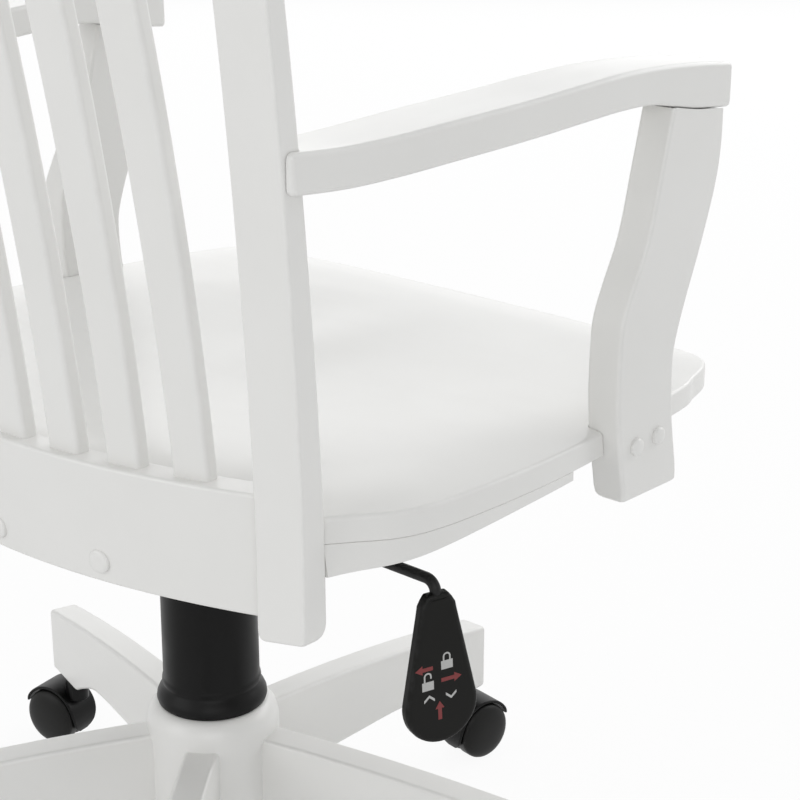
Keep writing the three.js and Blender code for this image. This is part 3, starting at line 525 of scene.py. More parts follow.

# %% [markdown]
# The column covers, hoods and knob are a satin plastic with a fine mould texture. The
# lever's plate has a finer grain and the wheels a coarser and shallower one. Coated metal
# has the deepest beads. Every black finish turns a lighter grey along its edges, partly
# rubbed wear and partly a painted highlight.

# %% Black plastics and coated metal
def black_finish(name, colour, roughness, texture_size, texture_depth, wear_and_highlight_colour, specular):
    material, tree, shader = finish_of(name, colour, roughness, specular=specular)
    place = node(tree, "ShaderNodeTexCoord", (-1300, 0)).outputs["Object"]
    fine = placed_group(tree, fine_group, (-1000, 100), place, Size=texture_size, Softness=0.4)
    wear_highlight = placed_group(tree, wear_and_highlight_group, (-1000, -240), place, Patch_Size=120.0, Amount=0.8)
    clouded = span(tree, fine.outputs["Cloud"], 0.0, 0.5, (-700, 260))
    tone = blend_colours(tree, clouded, colour, tuple(1.35 * c for c in colour), (-460, 260))
    # The edges mix towards a lighter grey, partly rubbed wear and partly a painted highlight.
    edged = blend_colours(tree, wear_highlight.outputs["Mask"], tone, wear_and_highlight_colour, (-220, 200))
    gloss = span(tree, fine.outputs["Cloud"], roughness - 0.05, roughness + 0.07, (-460, -60))
    surface(tree, shader, edged, fine.outputs["Height"], 0.35, texture_depth, gloss)
    return material


# The second colour in each call is the lighter grey along the edges, partly rubbed wear and partly
# a painted highlight.
satin_plastic = black_finish("satin_black_plastic", (0.004, 0.004, 0.004), 0.36, 1600.0, 0.00006,
                             (0.012, 0.012, 0.012), 0.15)
plate_plastic = black_finish("lever_black_plastic", (0.006, 0.0059, 0.0052), 0.42, 2200.0, 0.00005,
                             (0.024, 0.024, 0.024), 0.15)
wheel_plastic = black_finish("wheel_black_plastic", (0.0075, 0.0075, 0.007), 0.38, 900.0, 0.00004,
                             (0.016, 0.016, 0.016), 0.18)
coated_metal = black_finish("black_coated_metal", (0.006, 0.006, 0.006), 0.36, 1300.0, 0.00008,
                            (0.04, 0.04, 0.041), 0.25)

# %% [markdown]
# Zinc-plated steel keeps the fine lines of its drawing or turning. A noise stretched
# along one axis gives those lines in the gloss and, very slightly, in the height.

# %% Steel
def plated_steel(name, colour, lines):
    material, tree, shader = finish_of(name, colour, 0.28, metallic=1.0)
    place = node(tree, "ShaderNodeTexCoord", (-1300, 0))
    mapping = node(tree, "ShaderNodeMapping", (-1150, 0), inputs={"Scale": lines})
    wire(tree, (place, "Object", mapping, "Vector"))
    film = placed_group(tree, film_group, (-900, 0), mapping.outputs["Vector"],
                        Grain_Size=14.0, Peel_Size=900.0, Peel=0.1)
    dull = tuple(0.8 * c for c in colour)
    tone = blend_colours(tree, film.outputs["Cloud"], colour, dull, (-420, 220))
    gloss = span(tree, film.outputs["Grain"], 0.2, 0.36, (-420, -40))
    surface(tree, shader, tone, film.outputs["Height"], 0.1, 0.0001, gloss)
    return material


steel = plated_steel("zinc_plated_steel", (0.56, 0.56, 0.55), (1, 1, 4))

# %% [markdown]
# Printed marks on the lever are a thin film of ink, slightly glossier than the plastic.

# %% Inks
def ink(name, colour):
    material, tree, shader = finish_of(name, colour, 0.38)
    place = node(tree, "ShaderNodeTexCoord", (-1300, 0)).outputs["Object"]
    fine = placed_group(tree, fine_group, (-1000, 100), place, Size=2600.0, Softness=0.5)
    clouded = span(tree, fine.outputs["Height"], 0.0, 0.5, (-700, 260))
    tone = blend_colours(tree, clouded, colour, tuple(0.72 * c for c in colour), (-460, 260))
    surface(tree, shader, tone, fine.outputs["Height"], 0.2, 0.00004)
    return material


grey_ink = ink("pale_grey_ink", (0.5, 0.5, 0.49))
red_ink = ink("red_ink", (0.2, 0.019, 0.02))

# %% [markdown]
# ## The back
#
# The back is one leaning, fanning surface. Its lower rail follows a tight arc and the
# crest a wide one, and posts and slats run between them, so their places come from one
# function of the place across and the height above the seat.

# %% Back surface
SEAT_TOP = 433
SEAT_THICK = 20
SEAT_HALF = 286
SEAT_FRONT = 285
SEAT_REAR = 142
BACK_TOP = 893
CREST_HIGH = 92
POST_REACH = BACK_TOP - SEAT_TOP - CREST_HIGH
RAIL_RADIUS = 520
CREST_RADIUS = 1000
BACK_MIDDLE = 186
BACK_SLOPE = 0.1
BACK_CURL = 23


def back_at(across, height):
    """How far the back leans at a height, and the place and directions of its rear face."""
    rise = height / POST_REACH
    bend = lerp(1 / RAIL_RADIUS, 1 / CREST_RADIUS, max(rise, 0))
    lean = BACK_SLOPE * height + BACK_CURL * rise * rise
    turn = math.atan(across * bend)
    rear = Vector((across, BACK_MIDDLE + lean - across * across * bend / 2, SEAT_TOP + height))
    along = Vector((math.cos(turn), -math.sin(turn), 0))
    inward = Vector((-math.sin(turn), -math.cos(turn), 0))
    return lean, rear, along, inward


# %% [markdown]
# A post tapers in depth as it rises. Its foot hangs a little below the rail, cut at a
# slant and with a radius of its own on each side. We loft it ring by ring, so the lean
# and the taper come for free. Most wooden pieces come in pairs, which one helper makes.

# %% Posts
POST_WIDE = 40
POST_OUTER = 253.5
POST_REAR = 150
POST_SPREAD = 0.092
POST_DEPTHS = (18.3, 12.6)
POST_BOW = 1.2
POST_FOOT = -82
FOOT_RADII = {"inner": 6.5, "outer": 3.5, "front": 10.5, "rear": 2.4}
FOOT_SLANT = 0.22
FOOT_FADE = 38


def corner_loss(rise, radius):
    """How far a rounded corner stands back at some rise above the end it rounds."""
    return 0 if rise >= radius else radius - math.sqrt(radius ** 2 - (radius - rise) ** 2)


def post_form(grow=0.0, outward=0.0):
    """The right post. A cutter for its notches grows all round, or only outward."""
    high = POST_REACH - 0.3
    rises = [0, 0.25, 0.8, 1.6, 2.4, 3.5, 5, 7.5, 10.5]
    heights = [POST_FOOT + rise for rise in rises]
    heights += [lerp(heights[-1], high, i / 26) for i in range(1, 27)]
    sections = []
    for height in heights:
        lean = back_at(0, height)[0]
        depth = lerp(*POST_DEPTHS, height / POST_REACH)
        bow = POST_BOW * math.sin(math.pi * min(1, max(0, height / 300)))
        outer = POST_OUTER + POST_SPREAD * height - bow
        loss = {side: corner_loss(height - POST_FOOT, radius) - grow
                for side, radius in FOOT_RADII.items()}
        low_x, high_x = loss["outer"] - outer - outward, POST_WIDE - outer - loss["inner"]
        low_y, high_y = POST_REAR + lean - depth + loss["front"], POST_REAR + lean - loss["rear"]
        slant = FOOT_SLANT * max(0, 1 - (height - POST_FOOT) / FOOT_FADE)
        middle = (low_x + high_x) / 2
        centre = Vector((middle, (low_y + high_y) / 2,
                         SEAT_TOP + height - slant * (middle + outer)))
        sections.append((centre, Vector((1, 0, -slant)), Y, high_x - low_x, high_y - low_y, 2.2))
    return bar(sections)


def wooden(name, form, replaces=(), grain=(X, Y, Z), body="seat", sharp=SHARP):
    make_piece(name, form, body, painted_wood, replaces, grain, sharp)


def wooden_pair(name, right_form, replaced, grain):
    for side, form in (("right", right_form), ("left", right_form.mirrored())):
        wooden(f"{name}_{side}", form, [f"{replaced}_{side}"], grain)


upright = (Z, X, Y)
wooden_pair("post", post_form(), "back_post", upright)

# %% [markdown]
# Eight slats stand in mortises in the rail and under the crest. They fan out and widen
# towards the top. Each runs on into its mortises, so no end ever shows.

# %% Slats
SLAT_COUNT = 8
SLAT_PITCH = 47.3
SLAT_WIDTHS = (25.5, 29)
SLAT_THICK = 12
SLAT_INSET = 7.5
SLAT_EDGE = 3.4
MORTISE = 12
RAIL_HIGH = 4


def slat_form(index):
    place = (index - (SLAT_COUNT - 1) / 2) * SLAT_PITCH
    sections = []
    for i in range(19):
        height = lerp(RAIL_HIGH - MORTISE, POST_REACH + MORTISE, i / 18)
        _, rear, along, inward = back_at(place * (1 + 0.06 * height / POST_OUTER), height)
        sections.append((rear + inward * (SLAT_INSET + SLAT_THICK / 2), along, inward,
                         lerp(*SLAT_WIDTHS, height / POST_REACH), SLAT_THICK, SLAT_EDGE))
    return bar(sections)


for i in range(SLAT_COUNT):
    wooden(f"slat_{i + 1}", slat_form(i), [f"back_slat_{i + 1}"], upright)

# %% [markdown]
# The lower rail is one curved plank, glued and screwed to the seat's rear edge between
# the posts. The crest caps the back with a low arch and rounded ends.

# %% Rails
def band(places, section):
    """A plank along the back. Section gives its low, high, thickness and edge at a place."""
    sections = []
    for across in places:
        low, high, thickness, edge = section(across)
        _, bottom, _, inward = back_at(across, low)
        top = back_at(across, high)[1]
        up = top - bottom
        centre = (bottom + top) / 2 + inward * (thickness / 2)
        sections.append((centre, inward, up.normalized(), thickness, up.length, edge))
    return bar(sections)


rail_reach = POST_OUTER - POST_WIDE + 2
rail_places = [lerp(-rail_reach, rail_reach, i / 48) for i in range(49)]
wooden("rail", band(rail_places, lambda across: (-77, RAIL_HIGH, 21, 2.6)), ["lower_back_rail"])

CREST_ROUND = 16
CREST_THICK = 22
CREST_ARCH = 15
crest_reach = POST_OUTER + POST_SPREAD * POST_REACH + 9


def crest_section(across):
    gap = crest_reach - abs(across)
    full = 1 if gap >= CREST_ROUND else math.sqrt(max(0, 1 - (1 - gap / CREST_ROUND) ** 2))
    full = 0.72 + 0.28 * full
    arch = CREST_ARCH * (1 - math.cos(across / crest_reach * math.pi / 2))
    drop = (1 - full) * CREST_HIGH * 0.4
    return (POST_REACH + drop, BACK_TOP - SEAT_TOP - arch - drop,
            CREST_THICK * (0.6 + 0.4 * full), 4.5)


end_steps = sorted({round(crest_reach - CREST_ROUND * (1 - math.sin(k / 7 * math.pi / 2)), 4)
                    for k in range(8)})
middle = [lerp(-crest_reach + CREST_ROUND, crest_reach - CREST_ROUND, i / 60) for i in range(61)]
crest_places = [-v for v in reversed(end_steps)] + middle[1:-1] + end_steps
wooden("crest", band(crest_places, crest_section), ["crest_rail"])

# %% [markdown]
# ## The seat
#
# The seat is a thick slab, scooped in one broad hollow with a low ridge to the front.
# Rings that shrink towards the middle follow the outline near the rim, where the shape
# changes most. There the top slopes down a little to a crisp edge. The hollow is a smooth
# function of the place.

# %% Seat outline and hollow
SIDE_SHARES = [(0, -1), (0.26, -0.998), (0.52, -0.99), (0.74, -0.968), (0.83, -0.945),
               (0.877, -0.89), (0.907, -0.8), (0.937, -0.69), (0.988, -0.27), (1, -0.03),
               (0.992, 0.4), (0.965, 0.64), (0.901, 0.83), (0.842, 0.99)]
RAIL_GAP = 10.5
HOLLOW_DEEP = 9
RIM_FALL = 3.4
RIM_FROM = 0.82
RIM_EDGE = 3
UNDER_EDGE = 0.7


def seat_outline(gap):
    shrink = 1 - gap / SEAT_HALF
    side = [Vector((x * SEAT_HALF * shrink, y * (SEAT_FRONT if y < 0 else SEAT_REAR) * shrink))
            for x, y in SIDE_SHARES]
    half = spline(side, 5)
    across = [lerp(half[-1].x, -half[-1].x, i / 24) for i in range(1, 24)]
    rear = [Vector((x, BACK_MIDDLE - RAIL_GAP - x * x / (2 * RAIL_RADIUS) - gap)) for x in across]
    other = [Vector((-p.x, p.y)) for p in reversed(half[1:])]
    return half + rear + other


def hollow(x, y):
    across = x / (0.8 * SEAT_HALF)
    along = (y + 0.12 * SEAT_FRONT) / (0.68 * SEAT_FRONT)
    reach = across * across + along * along
    if reach >= 1:
        return 0
    forward = wave(min(1, max(0, (-y + 0.1 * SEAT_FRONT) / (0.7 * SEAT_FRONT))))
    ridge = 1 - 0.55 * forward * math.exp(-((x / (0.14 * SEAT_HALF)) ** 2))
    return HOLLOW_DEEP * (1 - reach) ** 1.5 * ridge


def seat_form():
    form = Form()
    outline = anticlockwise(seat_outline(0))
    centre = Vector((0, -0.22 * SEAT_FRONT))
    rings = []

    def ring(points, height, share=0.0, scooped=False):
        rings.append(form.ring([(p.x, p.y, SEAT_TOP + height - (hollow(p.x, p.y) if scooped else 0))
                                for p in points], [share] * len(points)))

    def fall(share):
        return RIM_FALL * max(0, (share - RIM_FROM) / 0.18) ** 2

    for k in range(6):
        turn = k / 5 * math.pi / 2
        ring(inset(outline, UNDER_EDGE * (1 - math.sin(turn))),
             -SEAT_THICK + UNDER_EDGE * (1 - math.cos(turn)), math.sin(math.pi * k / 5))
    for k in range(6, -1, -1):
        turn = k / 6 * math.pi / 2
        ring(inset(outline, RIM_EDGE * (1 - math.sin(turn))),
             -fall(1) - RIM_EDGE * (1 - math.cos(turn)), math.sin(math.pi * k / 6))
    inner = inset(outline, RIM_EDGE)
    for i in range(1, 44):
        share = 1 - i / 44
        ring([centre + (p - centre) * share for p in inner], -fall(share), 0, True)
    return form.loft(rings)


wooden("seat_top", seat_form(), ["seat_board"])

# %% [markdown]
# Strips glued under the rim's rear half make the edge look thick there. They thin out
# towards the arm supports, where a small step shows. The strip is a band that follows
# the outline, its depth a function of the place from front to rear.

# %% Rim strips
SUPPORT_REAR = -90.5
STRIP_END = SUPPORT_REAR + 17
STRIP_TOP = SEAT_TOP - SEAT_THICK - 0.3


def strip_form():
    sections = []
    for a, b in zip(seat_outline(0.6), seat_outline(62)):
        if a.y > STRIP_END:
            share = min(1, max(0, (a.y - STRIP_END) / (SEAT_REAR - STRIP_END)))
            depth = 6.3 + 14.7 * share ** 1.7 + 5 * share ** 14
            centre = Vector(((a.x + b.x) / 2, (a.y + b.y) / 2, STRIP_TOP - depth / 2))
            inward = (b - a).normalized().to_3d()
            sections.append((centre, inward, Z, (b - a).length, depth, UNDER_EDGE))
    return bar(sections)


wooden("rim_strips", strip_form(), ["seat_build_up"])

# %% [markdown]
# ## Arms and supports
#
# An arm is a bowed plank that starts at the post and ends over its support. Its height
# and both sides are given at a few stations, and a spline smooths what lies between. It
# swells towards the front. A tenon reaches down into the support.

# %% Arms
ARM_RISE = [0.14, 0.04, 0.13, 0.3, 0.46, 0.63, 0.84, 1, 0.99, 0.84, 0.58]
ARM_OUTER = [19.5, 15.5, 11.5, 8.2, 5.5, 3.4, 1.5, 0.6, 0.2, 0, 0]
ARM_INNER = [-11.5, -13.5, -14, -13, -11, -8.5, -5.2, -1.5, 2, 5.2, 8]
ARM_LOW = 214.4
ARM_LIFT = 14
ARM_SIDE = 295.5
ARM_WIDE = 48
ARM_REAR = 174.5
ARM_LONG = 373.5
ARM_THICK = 23
ARM_SWELL = 6.2
ARM_EDGE = 3.4
TENON_LOW = 600
TENON_HIGH = 50


def arm_form():
    stations = [Vector((ARM_LOW + ARM_LIFT * rise, ARM_SIDE - outer, ARM_SIDE - ARM_WIDE + inner))
                for rise, outer, inner in zip(ARM_RISE, ARM_OUTER, ARM_INNER)]
    fine = spline(stations, 6)
    last = len(fine) - 1
    sections = []
    for place, shrink in end_places(0, 1, 3.6 / ARM_LONG, 60):
        shrink *= ARM_LONG
        share = place * last
        k = min(int(share), last - 1)
        s = fine[k].lerp(fine[k + 1], share - k)
        swell = ARM_SWELL * wave(min(1, max(0, (place - 0.74) / 0.18)))
        thick = ARM_THICK + swell - 2 * shrink
        top = SEAT_TOP + s.x - shrink
        centre = Vector((-(s.y + s.z) / 2, ARM_REAR - ARM_LONG * place, top - thick / 2))
        up = Vector((0, 0.1 * max(0, 1 - 2.5 * place), 1))
        sections.append((centre, X, up, s.y - s.z - 2 * shrink, thick, ARM_EDGE))
    return bar(sections)


arm = arm_form()
tenon = board([(-288, -186), (-275, -186), (-275, -142), (-288, -142)], TENON_HIGH, 1)
tenoned_arm = Form().add(arm).add(tenon, Matrix.Translation((0, 0, TENON_LOW)))
wooden_pair("arm_piece", tenoned_arm, "arm", (Y, X, Z))

# %% [markdown]
# A support is a plank sawn to a flowing outline: wide under the arm, waisted, and notched
# over the seat's side, where two screws with domed caps hold it.

# %% Supports
SUPPORT_BACK = [(0.15, 0.012), (0.145, 0.04), (0.06, 0.15), (0, 0.27), (0.005, 0.4), (0.04, 0.477),
                (0.18, 0.552), (0.42, 0.665), (0.6, 0.82), (0.8, 1)]
SUPPORT_FRONT = [(1.69, 1), (1.69, 0.86), (1.615, 0.757), (1.41, 0.62), (1.16, 0.48), (1.02, 0.386),
                 (0.98, 0.32), (1.015, 0.187), (1.12, 0.05), (1.13, 0.012)]
SUPPORT_WIDE = 61
SUPPORT_FOOT = SEAT_TOP - 52
SUPPORT_HIGH = 259
SUPPORT_EDGE = 3.0
SUPPORT_OUT = 294
SUPPORT_THICK = 25.5
SUPPORT_FOOT_RADIUS = 8


def value_at(curve, share):
    """First number of a curve where its second number passes share."""
    for a, b in zip(curve, curve[1:]):
        if min(a.y, b.y) <= share <= max(a.y, b.y) and a.y != b.y:
            return lerp(a.x, b.x, (share - a.y) / (b.y - a.y))
    return curve[0].x if abs(curve[0].y - share) < abs(curve[-1].y - share) else curve[-1].x


def support_form(grow=0.0):
    """The right support. A cutter for its notch grows all round."""
    back = spline(SUPPORT_BACK, 6)
    front = spline(SUPPORT_FRONT, 6)
    sections = []
    for share, shrink in end_places(0, 1, SUPPORT_EDGE / SUPPORT_HIGH, 56):
        rear = SUPPORT_REAR - SUPPORT_WIDE * value_at(back, share)
        fore = SUPPORT_REAR - SUPPORT_WIDE * value_at(front, share)
        rise = share * SUPPORT_HIGH
        foot = share < 0.5
        less = 2 * ((shrink * SUPPORT_HIGH if foot else 0) - grow)
        inner = corner_loss(rise, SUPPORT_FOOT_RADIUS) - shrink * SUPPORT_HIGH if foot else 0
        centre = Vector((-SUPPORT_OUT + SUPPORT_THICK / 2 - inner / 2, (rear + fore) / 2,
                         SUPPORT_FOOT + SUPPORT_HIGH * share))
        sections.append((centre, X, Y, SUPPORT_THICK - less - inner, rear - fore - less,
                         SUPPORT_EDGE))
    return bar(sections)


wooden_pair("support", support_form(), "arm_support", upright)

# %% [markdown]
# The seat's side is notched for each support, its rear corners for the posts, and the
# arms are notched over the posts. The joiner leaves a hair of room there, and that dark
# line is what the eye reads as a joint. The supports stop a millimetre below the arms for
# the same reason. A Boolean with a slightly larger or lower copy of the part cuts each.

# %% Notches
def notch(name, *forms):
    obj = bpy.data.objects[name]
    cutters = Form()
    for form in forms:
        cutters.add(form)
    mesh = mesh_of("cutter", cutters)
    cutter = bpy.data.objects.new("cutter", mesh)
    bpy.context.scene.collection.objects.link(cutter)
    carve = obj.modifiers.new("notch", "BOOLEAN")
    carve.operation = "DIFFERENCE"
    carve.solver = "EXACT"
    carve.use_self = True
    carve.object = cutter
    shading = obj.modifiers["even_shading"]
    shading.show_viewport = False
    graph = bpy.context.evaluated_depsgraph_get()
    cut_mesh = bpy.data.meshes.new_from_object(obj.evaluated_get(graph))
    print("notched", name, "from", len(obj.data.vertices), "to", len(cut_mesh.vertices), "points")
    obj.modifiers.remove(carve)
    shading.show_viewport = True
    obj.data = cut_mesh
    obj.data.set_sharp_from_angle(angle=math.radians(SHARP))
    bpy.data.objects.remove(cutter)
    bpy.data.meshes.remove(mesh)


HAIR = 0.45
ARM_GAP = 1.1
wide_support = support_form(HAIR)
wide_post = post_form(HAIR)
open_post = post_form(HAIR, 40)
low_arm = arm.moved(Matrix.Translation((0, 0, -ARM_GAP)))
notch("seat_top", wide_support, wide_support.mirrored(), open_post, open_post.mirrored())
notch("rim_strips", open_post, open_post.mirrored())
notch("arm_piece_right", wide_post)
notch("arm_piece_left", wide_post.mirrored())
notch("support_right", low_arm)
notch("support_left", low_arm.mirrored())

# %% [markdown]
# Domed caps cover the screws. A cap is a low dome with a rounded rim that stands about
# two millimetres proud, so it catches a highlight on one side and a shadow on the other.

# %% Screw caps
CAP_SHARES = [(1, 0), (0.985, 0.42), (0.9, 0.7), (0.7, 0.9), (0.4, 0.985), (0, 1)]
SUPPORT_SCREWS = [(-111.5, 418), (-135, 419.5)]
RAIL_SCREWS = [-97, -6, 91]


def cap_on(name, place, outward, radius, height):
    profile = [(0, -1.5), (radius * 0.9, -1.5)] + [(radius * r, height * h) for r, h in CAP_SHARES]
    matrix = outward.to_track_quat("Z", "Y").to_matrix().to_4x4()
    matrix.translation = place
    wooden(name, turned(profile, 40).moved(matrix), sharp=60)


for side, word in ((-1, "right"), (1, "left")):
    for k, (y, z) in enumerate(SUPPORT_SCREWS):
        place = Vector((side * SUPPORT_OUT, y, z))
        cap_on(f"support_cap_{word}_{k + 1}", place, side * X, 6, 3.4)
for k, across in enumerate(RAIL_SCREWS):
    _, rear, _, inward = back_at(across, -62)
    cap_on(f"rail_cap_{k + 1}", rear, -inward, 7.8, 3)

# %% [markdown]
# ## The base
#
# Five sawn legs meet a turned hub. A leg keeps its depth near the hub, hollows out below
# and ends in a pad for its caster. It is a bar between two curves, with softened edges.

# %% Hub
HUB_PROFILE = [(31.3, 82), (46.6, 82), (48.4, 85), (48.4, 147), (49.2, 151.5), (49.2, 162),
               (47.6, 169), (44, 173.6), (40, 176.2), (31.3, 176.2)]
wooden("hub", turned(HUB_PROFILE, 120, closed=True, soft=3), ["base_hub"], upright, "base")

# %% Legs
LEG_REACH = 312
LEG_TOP = 156
LEG_DROP = 33
LEG_END = 57
LEG_ROOT = 40
LEG_BELLY = 87.5
LEG_WIDE = 25
LEG_EDGE = 3.2
PAD_LONG = 52
PAD_Z = LEG_TOP - LEG_DROP - LEG_END
LEG_ANGLES = [-88.5, -16.5, 55.5, 127.5, 199.5]


def leg_form():
    out = LEG_REACH - LEG_ROOT
    top = spline([(LEG_TOP - 0.42 * LEG_DROP * t - 0.58 * LEG_DROP * t * t, LEG_ROOT + out * t)
                  for t in (0, 0.2, 0.4, 0.6, 0.8, 1)], 5)
    pad = LEG_REACH - PAD_LONG
    under = spline([(87, LEG_ROOT), (LEG_BELLY, pad - 2.2 * PAD_LONG),
                    (LEG_BELLY, pad - 1.25 * PAD_LONG),
                    (LEG_BELLY - 0.06 * LEG_END, pad - 0.75 * PAD_LONG),
                    (PAD_Z + 0.12 * LEG_END, pad - 0.25 * PAD_LONG), (PAD_Z, pad)], 5)
    under.append(Vector((PAD_Z, LEG_REACH)))
    sections = []
    for place, shrink in end_places(LEG_ROOT, LEG_REACH, 3, 64):
        less = 2 * shrink if place >= LEG_ROOT + 5 else 0
        low = value_at(under, place)
        high = value_at(top, place)
        centre = Vector((place, 0, (low + high) / 2))
        sections.append((centre, Y, Z, LEG_WIDE - less, high - low - less, LEG_EDGE))
    return bar(sections)


leg = leg_form()
for k, angle in enumerate(LEG_ANGLES):
    turn = Matrix.Rotation(math.radians(angle), 4, "Z")
    wooden(f"leg_{k + 1}", leg.moved(turn), [f"base_leg_{k + 1}"], (turn @ X, turn @ Y, Z), "base")

# %% [markdown]
# ## The column
#
# Three plastic sleeves hide the gas lift. The lowest ends in a bell with a small bead
# above it and rests on the hub. Each sleeve is a turned part with a thin wall.

# %% Column covers
HOUSING_LOW = 332
COVER_LOW = 172
COLUMN = HOUSING_LOW - COVER_LOW
FOOT = 176.5
BEAD = 192.2
LOWER_TOP = COVER_LOW + 0.6 * COLUMN
lower_profile = [(39.9, FOOT), (40.9, FOOT + 3.2), (40.6, FOOT + 6.2), (39.2, FOOT + 9.4),
                 (37.4, FOOT + 12.2), (36.2, BEAD - 1.6), (36.1, BEAD), (36.7, BEAD + 1.6),
                 (36.4, BEAD + 3.7), (35.7, BEAD + 5.7), (35.4, LOWER_TOP - 1), (34.9, LOWER_TOP),
                 (33.4, LOWER_TOP), (33.4, BEAD), (37.6, FOOT + 2), (37.6, FOOT)]


def black_piece(name, form, body, finish, replaces=()):
    make_piece(name, form, body, finish, replaces)


def sleeve_form(radius, low, high):
    profile = [(radius, low), (radius, high - 1), (radius - 0.6, high), (radius - 2, high),
               (radius - 2, low)]
    return turned(profile, 96, closed=True, soft=0.5)


black_piece("cover_foot", turned(lower_profile, 96, closed=True, soft=1.0), "column",
            satin_plastic, ["column_cover_lower"])
black_piece("cover_middle_sleeve",
            sleeve_form(32.5, COVER_LOW + 0.08 * COLUMN, COVER_LOW + 0.83 * COLUMN),
            "cover_middle", satin_plastic, ["column_cover_middle"])
black_piece("cover_top_sleeve", sleeve_form(29.6, COVER_LOW + 0.33 * COLUMN, HOUSING_LOW - 0.3),
            "mechanism", satin_plastic, ["column_cover_upper"])

# %% [markdown]
# ## The lever
#
# A bent rod comes out of the mechanism to the chair's right and carries a teardrop plate.
# The plate's edges are rounded in several steps, which makes it read as moulded.

# %% Lever rod
LEVER_Z = 343
LEVER_Y = 8
LEVER_REACH = 228
LEVER_BEND = 8
LEVER_RADIUS = 3.8
LEVER_START = -39
rod_path = [Vector((lerp(LEVER_START, -LEVER_REACH + LEVER_BEND, i / 10), LEVER_Y, LEVER_Z))
            for i in range(11)]
for i in range(1, 13):
    turn = i / 12 * math.pi / 2
    rod_path.append(Vector((-LEVER_REACH + LEVER_BEND * (1 - math.sin(turn)), LEVER_Y,
                            LEVER_Z - LEVER_BEND * (1 - math.cos(turn)))))
rod_path.append(Vector((-LEVER_REACH, LEVER_Y, LEVER_Z - LEVER_BEND - 9)))
make_piece("lever_bar", tube(rod_path, LEVER_RADIUS, 20), "lever", coated_metal,
           ["lever_rod"])

# %% Lever plate
PLATE_LONG = 106.5
PLATE_RADIUS = 26.3
PLATE_THICK = 9
PLATE_SHOULDER = [(-7.4, 0), (-8.6, -1.4), (-10.6, -4.2), (-12.6, -7.8), (-13.4, -12.5)]
plate_top = LEVER_Z - 0.98 * LEVER_BEND


def plate_outline():
    middle_z = PLATE_RADIUS - PLATE_LONG
    angles = [lerp(math.pi * 0.955, math.pi * 2.045, i / 32) for i in range(33)]
    bowl = [(x, middle_z + y) for x, y in arc(PLATE_RADIUS, angles)]
    return PLATE_SHOULDER + bowl + [(-x, y) for x, y in reversed(PLATE_SHOULDER)]


def plate_form():
    outline = anticlockwise(soft_corners(plate_outline(), 2.2))
    form = Form()
    face = PLATE_THICK / 2
    steps = [(3.2, -face, 0), (1.6, -face + 0.2, 0.5), (0.5, -face + 1.1, 1),
             (0, -face + 2.4, 0), (0, face - 2.4, 0), (0.25, face - 1.3, 0.8),
             (0.9, face - 0.55, 1), (2.0, face - 0.1, 0.5), (3.6, face, 0)]
    rings = [form.ring([(p.x, p.y, z) for p in inset(outline, gap)], [share] * len(outline))
             for gap, z, share in steps]
    return form.loft(rings)


plate_turn = math.pi / 2 - math.radians(20)
plate_across = Vector((math.cos(plate_turn), math.sin(plate_turn), 0))
plate_out = Vector((-math.sin(plate_turn), math.cos(plate_turn), 0))
plate_tilt = Matrix.Rotation(math.radians(2.5), 4, "Z")
plate_place = on_axes(-plate_across, Z, plate_out, (-LEVER_REACH, LEVER_Y, plate_top)) @ plate_tilt
black_piece("lever_plate", plate_form().moved(plate_place), "lever", plate_plastic,
            ["lever_paddle"])

# %% [markdown]
# The plate's face shows how the lever works. Plain signs take the place of words: a
# closed and an open padlock, and up and down chevrons, each with a red arrow.

# %% Signs on the plate
def flat_sign(name, outlines, at, finish, size=1.0, turn=0.0):
    form = Form()
    for outline in outlines:
        placed = [Matrix.Rotation(turn, 2) @ Vector((x * size, y * size)) + Vector(at)
                  for x, y in outline]
        form.add(board(placed, 0.2, 0.05, 2), Matrix.Translation((0, 0, 4.4)))
    black_piece(name, form.moved(plate_place), "lever", finish)


def arrow(length):
    """An arrow along x, its head 5.4 long and its shaft 2.8 thick."""
    half = length / 2
    neck = half - 5.4
    wing = 5.4 * 0.62
    return [(-half, -1.4), (neck, -1.4), (neck, -wing), (half, 0), (neck, wing), (neck, 1.4),
            (-half, 1.4)]


def shackle(open_side):
    turns = [math.pi * i / 12 for i in range(13)]
    lift, right_foot = (3.2, 2.0) if open_side else (2.4, 0.2)
    points = [(2.3, right_foot - 0.2)] + [(x, y + lift) for x, y in arc(2.3, turns)] + [(-2.3, 0)]
    points += [(-1.4, 0)] + [(x, y + lift) for x, y in arc(1.4, reversed(turns))]
    points.append((1.4, right_foot - 0.2))
    return [(x, y + 1.4) for x, y in points]


def lock(open_side):
    return [[(-3.4, -3.4), (3.4, -3.4), (3.4, 1.6), (-3.4, 1.6)], shackle(open_side)]


def chevron(up):
    s = 1 if up else -1
    points = [(-3, -1.4), (0, 1.2), (3, -1.4), (3, 0.1), (0, 2.7), (-3, 0.1)]
    return [[(x, y * s) for x, y in points]]


flat_sign("sign_lock", lock(False), (4.1, -49.4), grey_ink, 1.25)
flat_sign("sign_free", lock(True), (-10.2, -61.7), grey_ink, 1.25)
flat_sign("sign_up", chevron(True), (-9.5, -73), grey_ink, 1.3)
flat_sign("sign_down", chevron(False), (6.5, -72.5), grey_ink, 1.3)
flat_sign("arrow_lock", [arrow(13)], (-12.7, -50.5), red_ink, turn=math.pi)
flat_sign("arrow_free", [arrow(15)], (7.1, -61), red_ink)
flat_sign("arrow_height", [arrow(13.5)], (-2.1, -82.4), red_ink, turn=math.pi / 2)

# %% [markdown]
# ## Casters
#
# Each caster has two wheels on one axle under a hood. A wheel has a flat tread and a low
# dome for its outer face. The hood is a thin band that curves over both wheels and
# narrows to a tongue at the back.

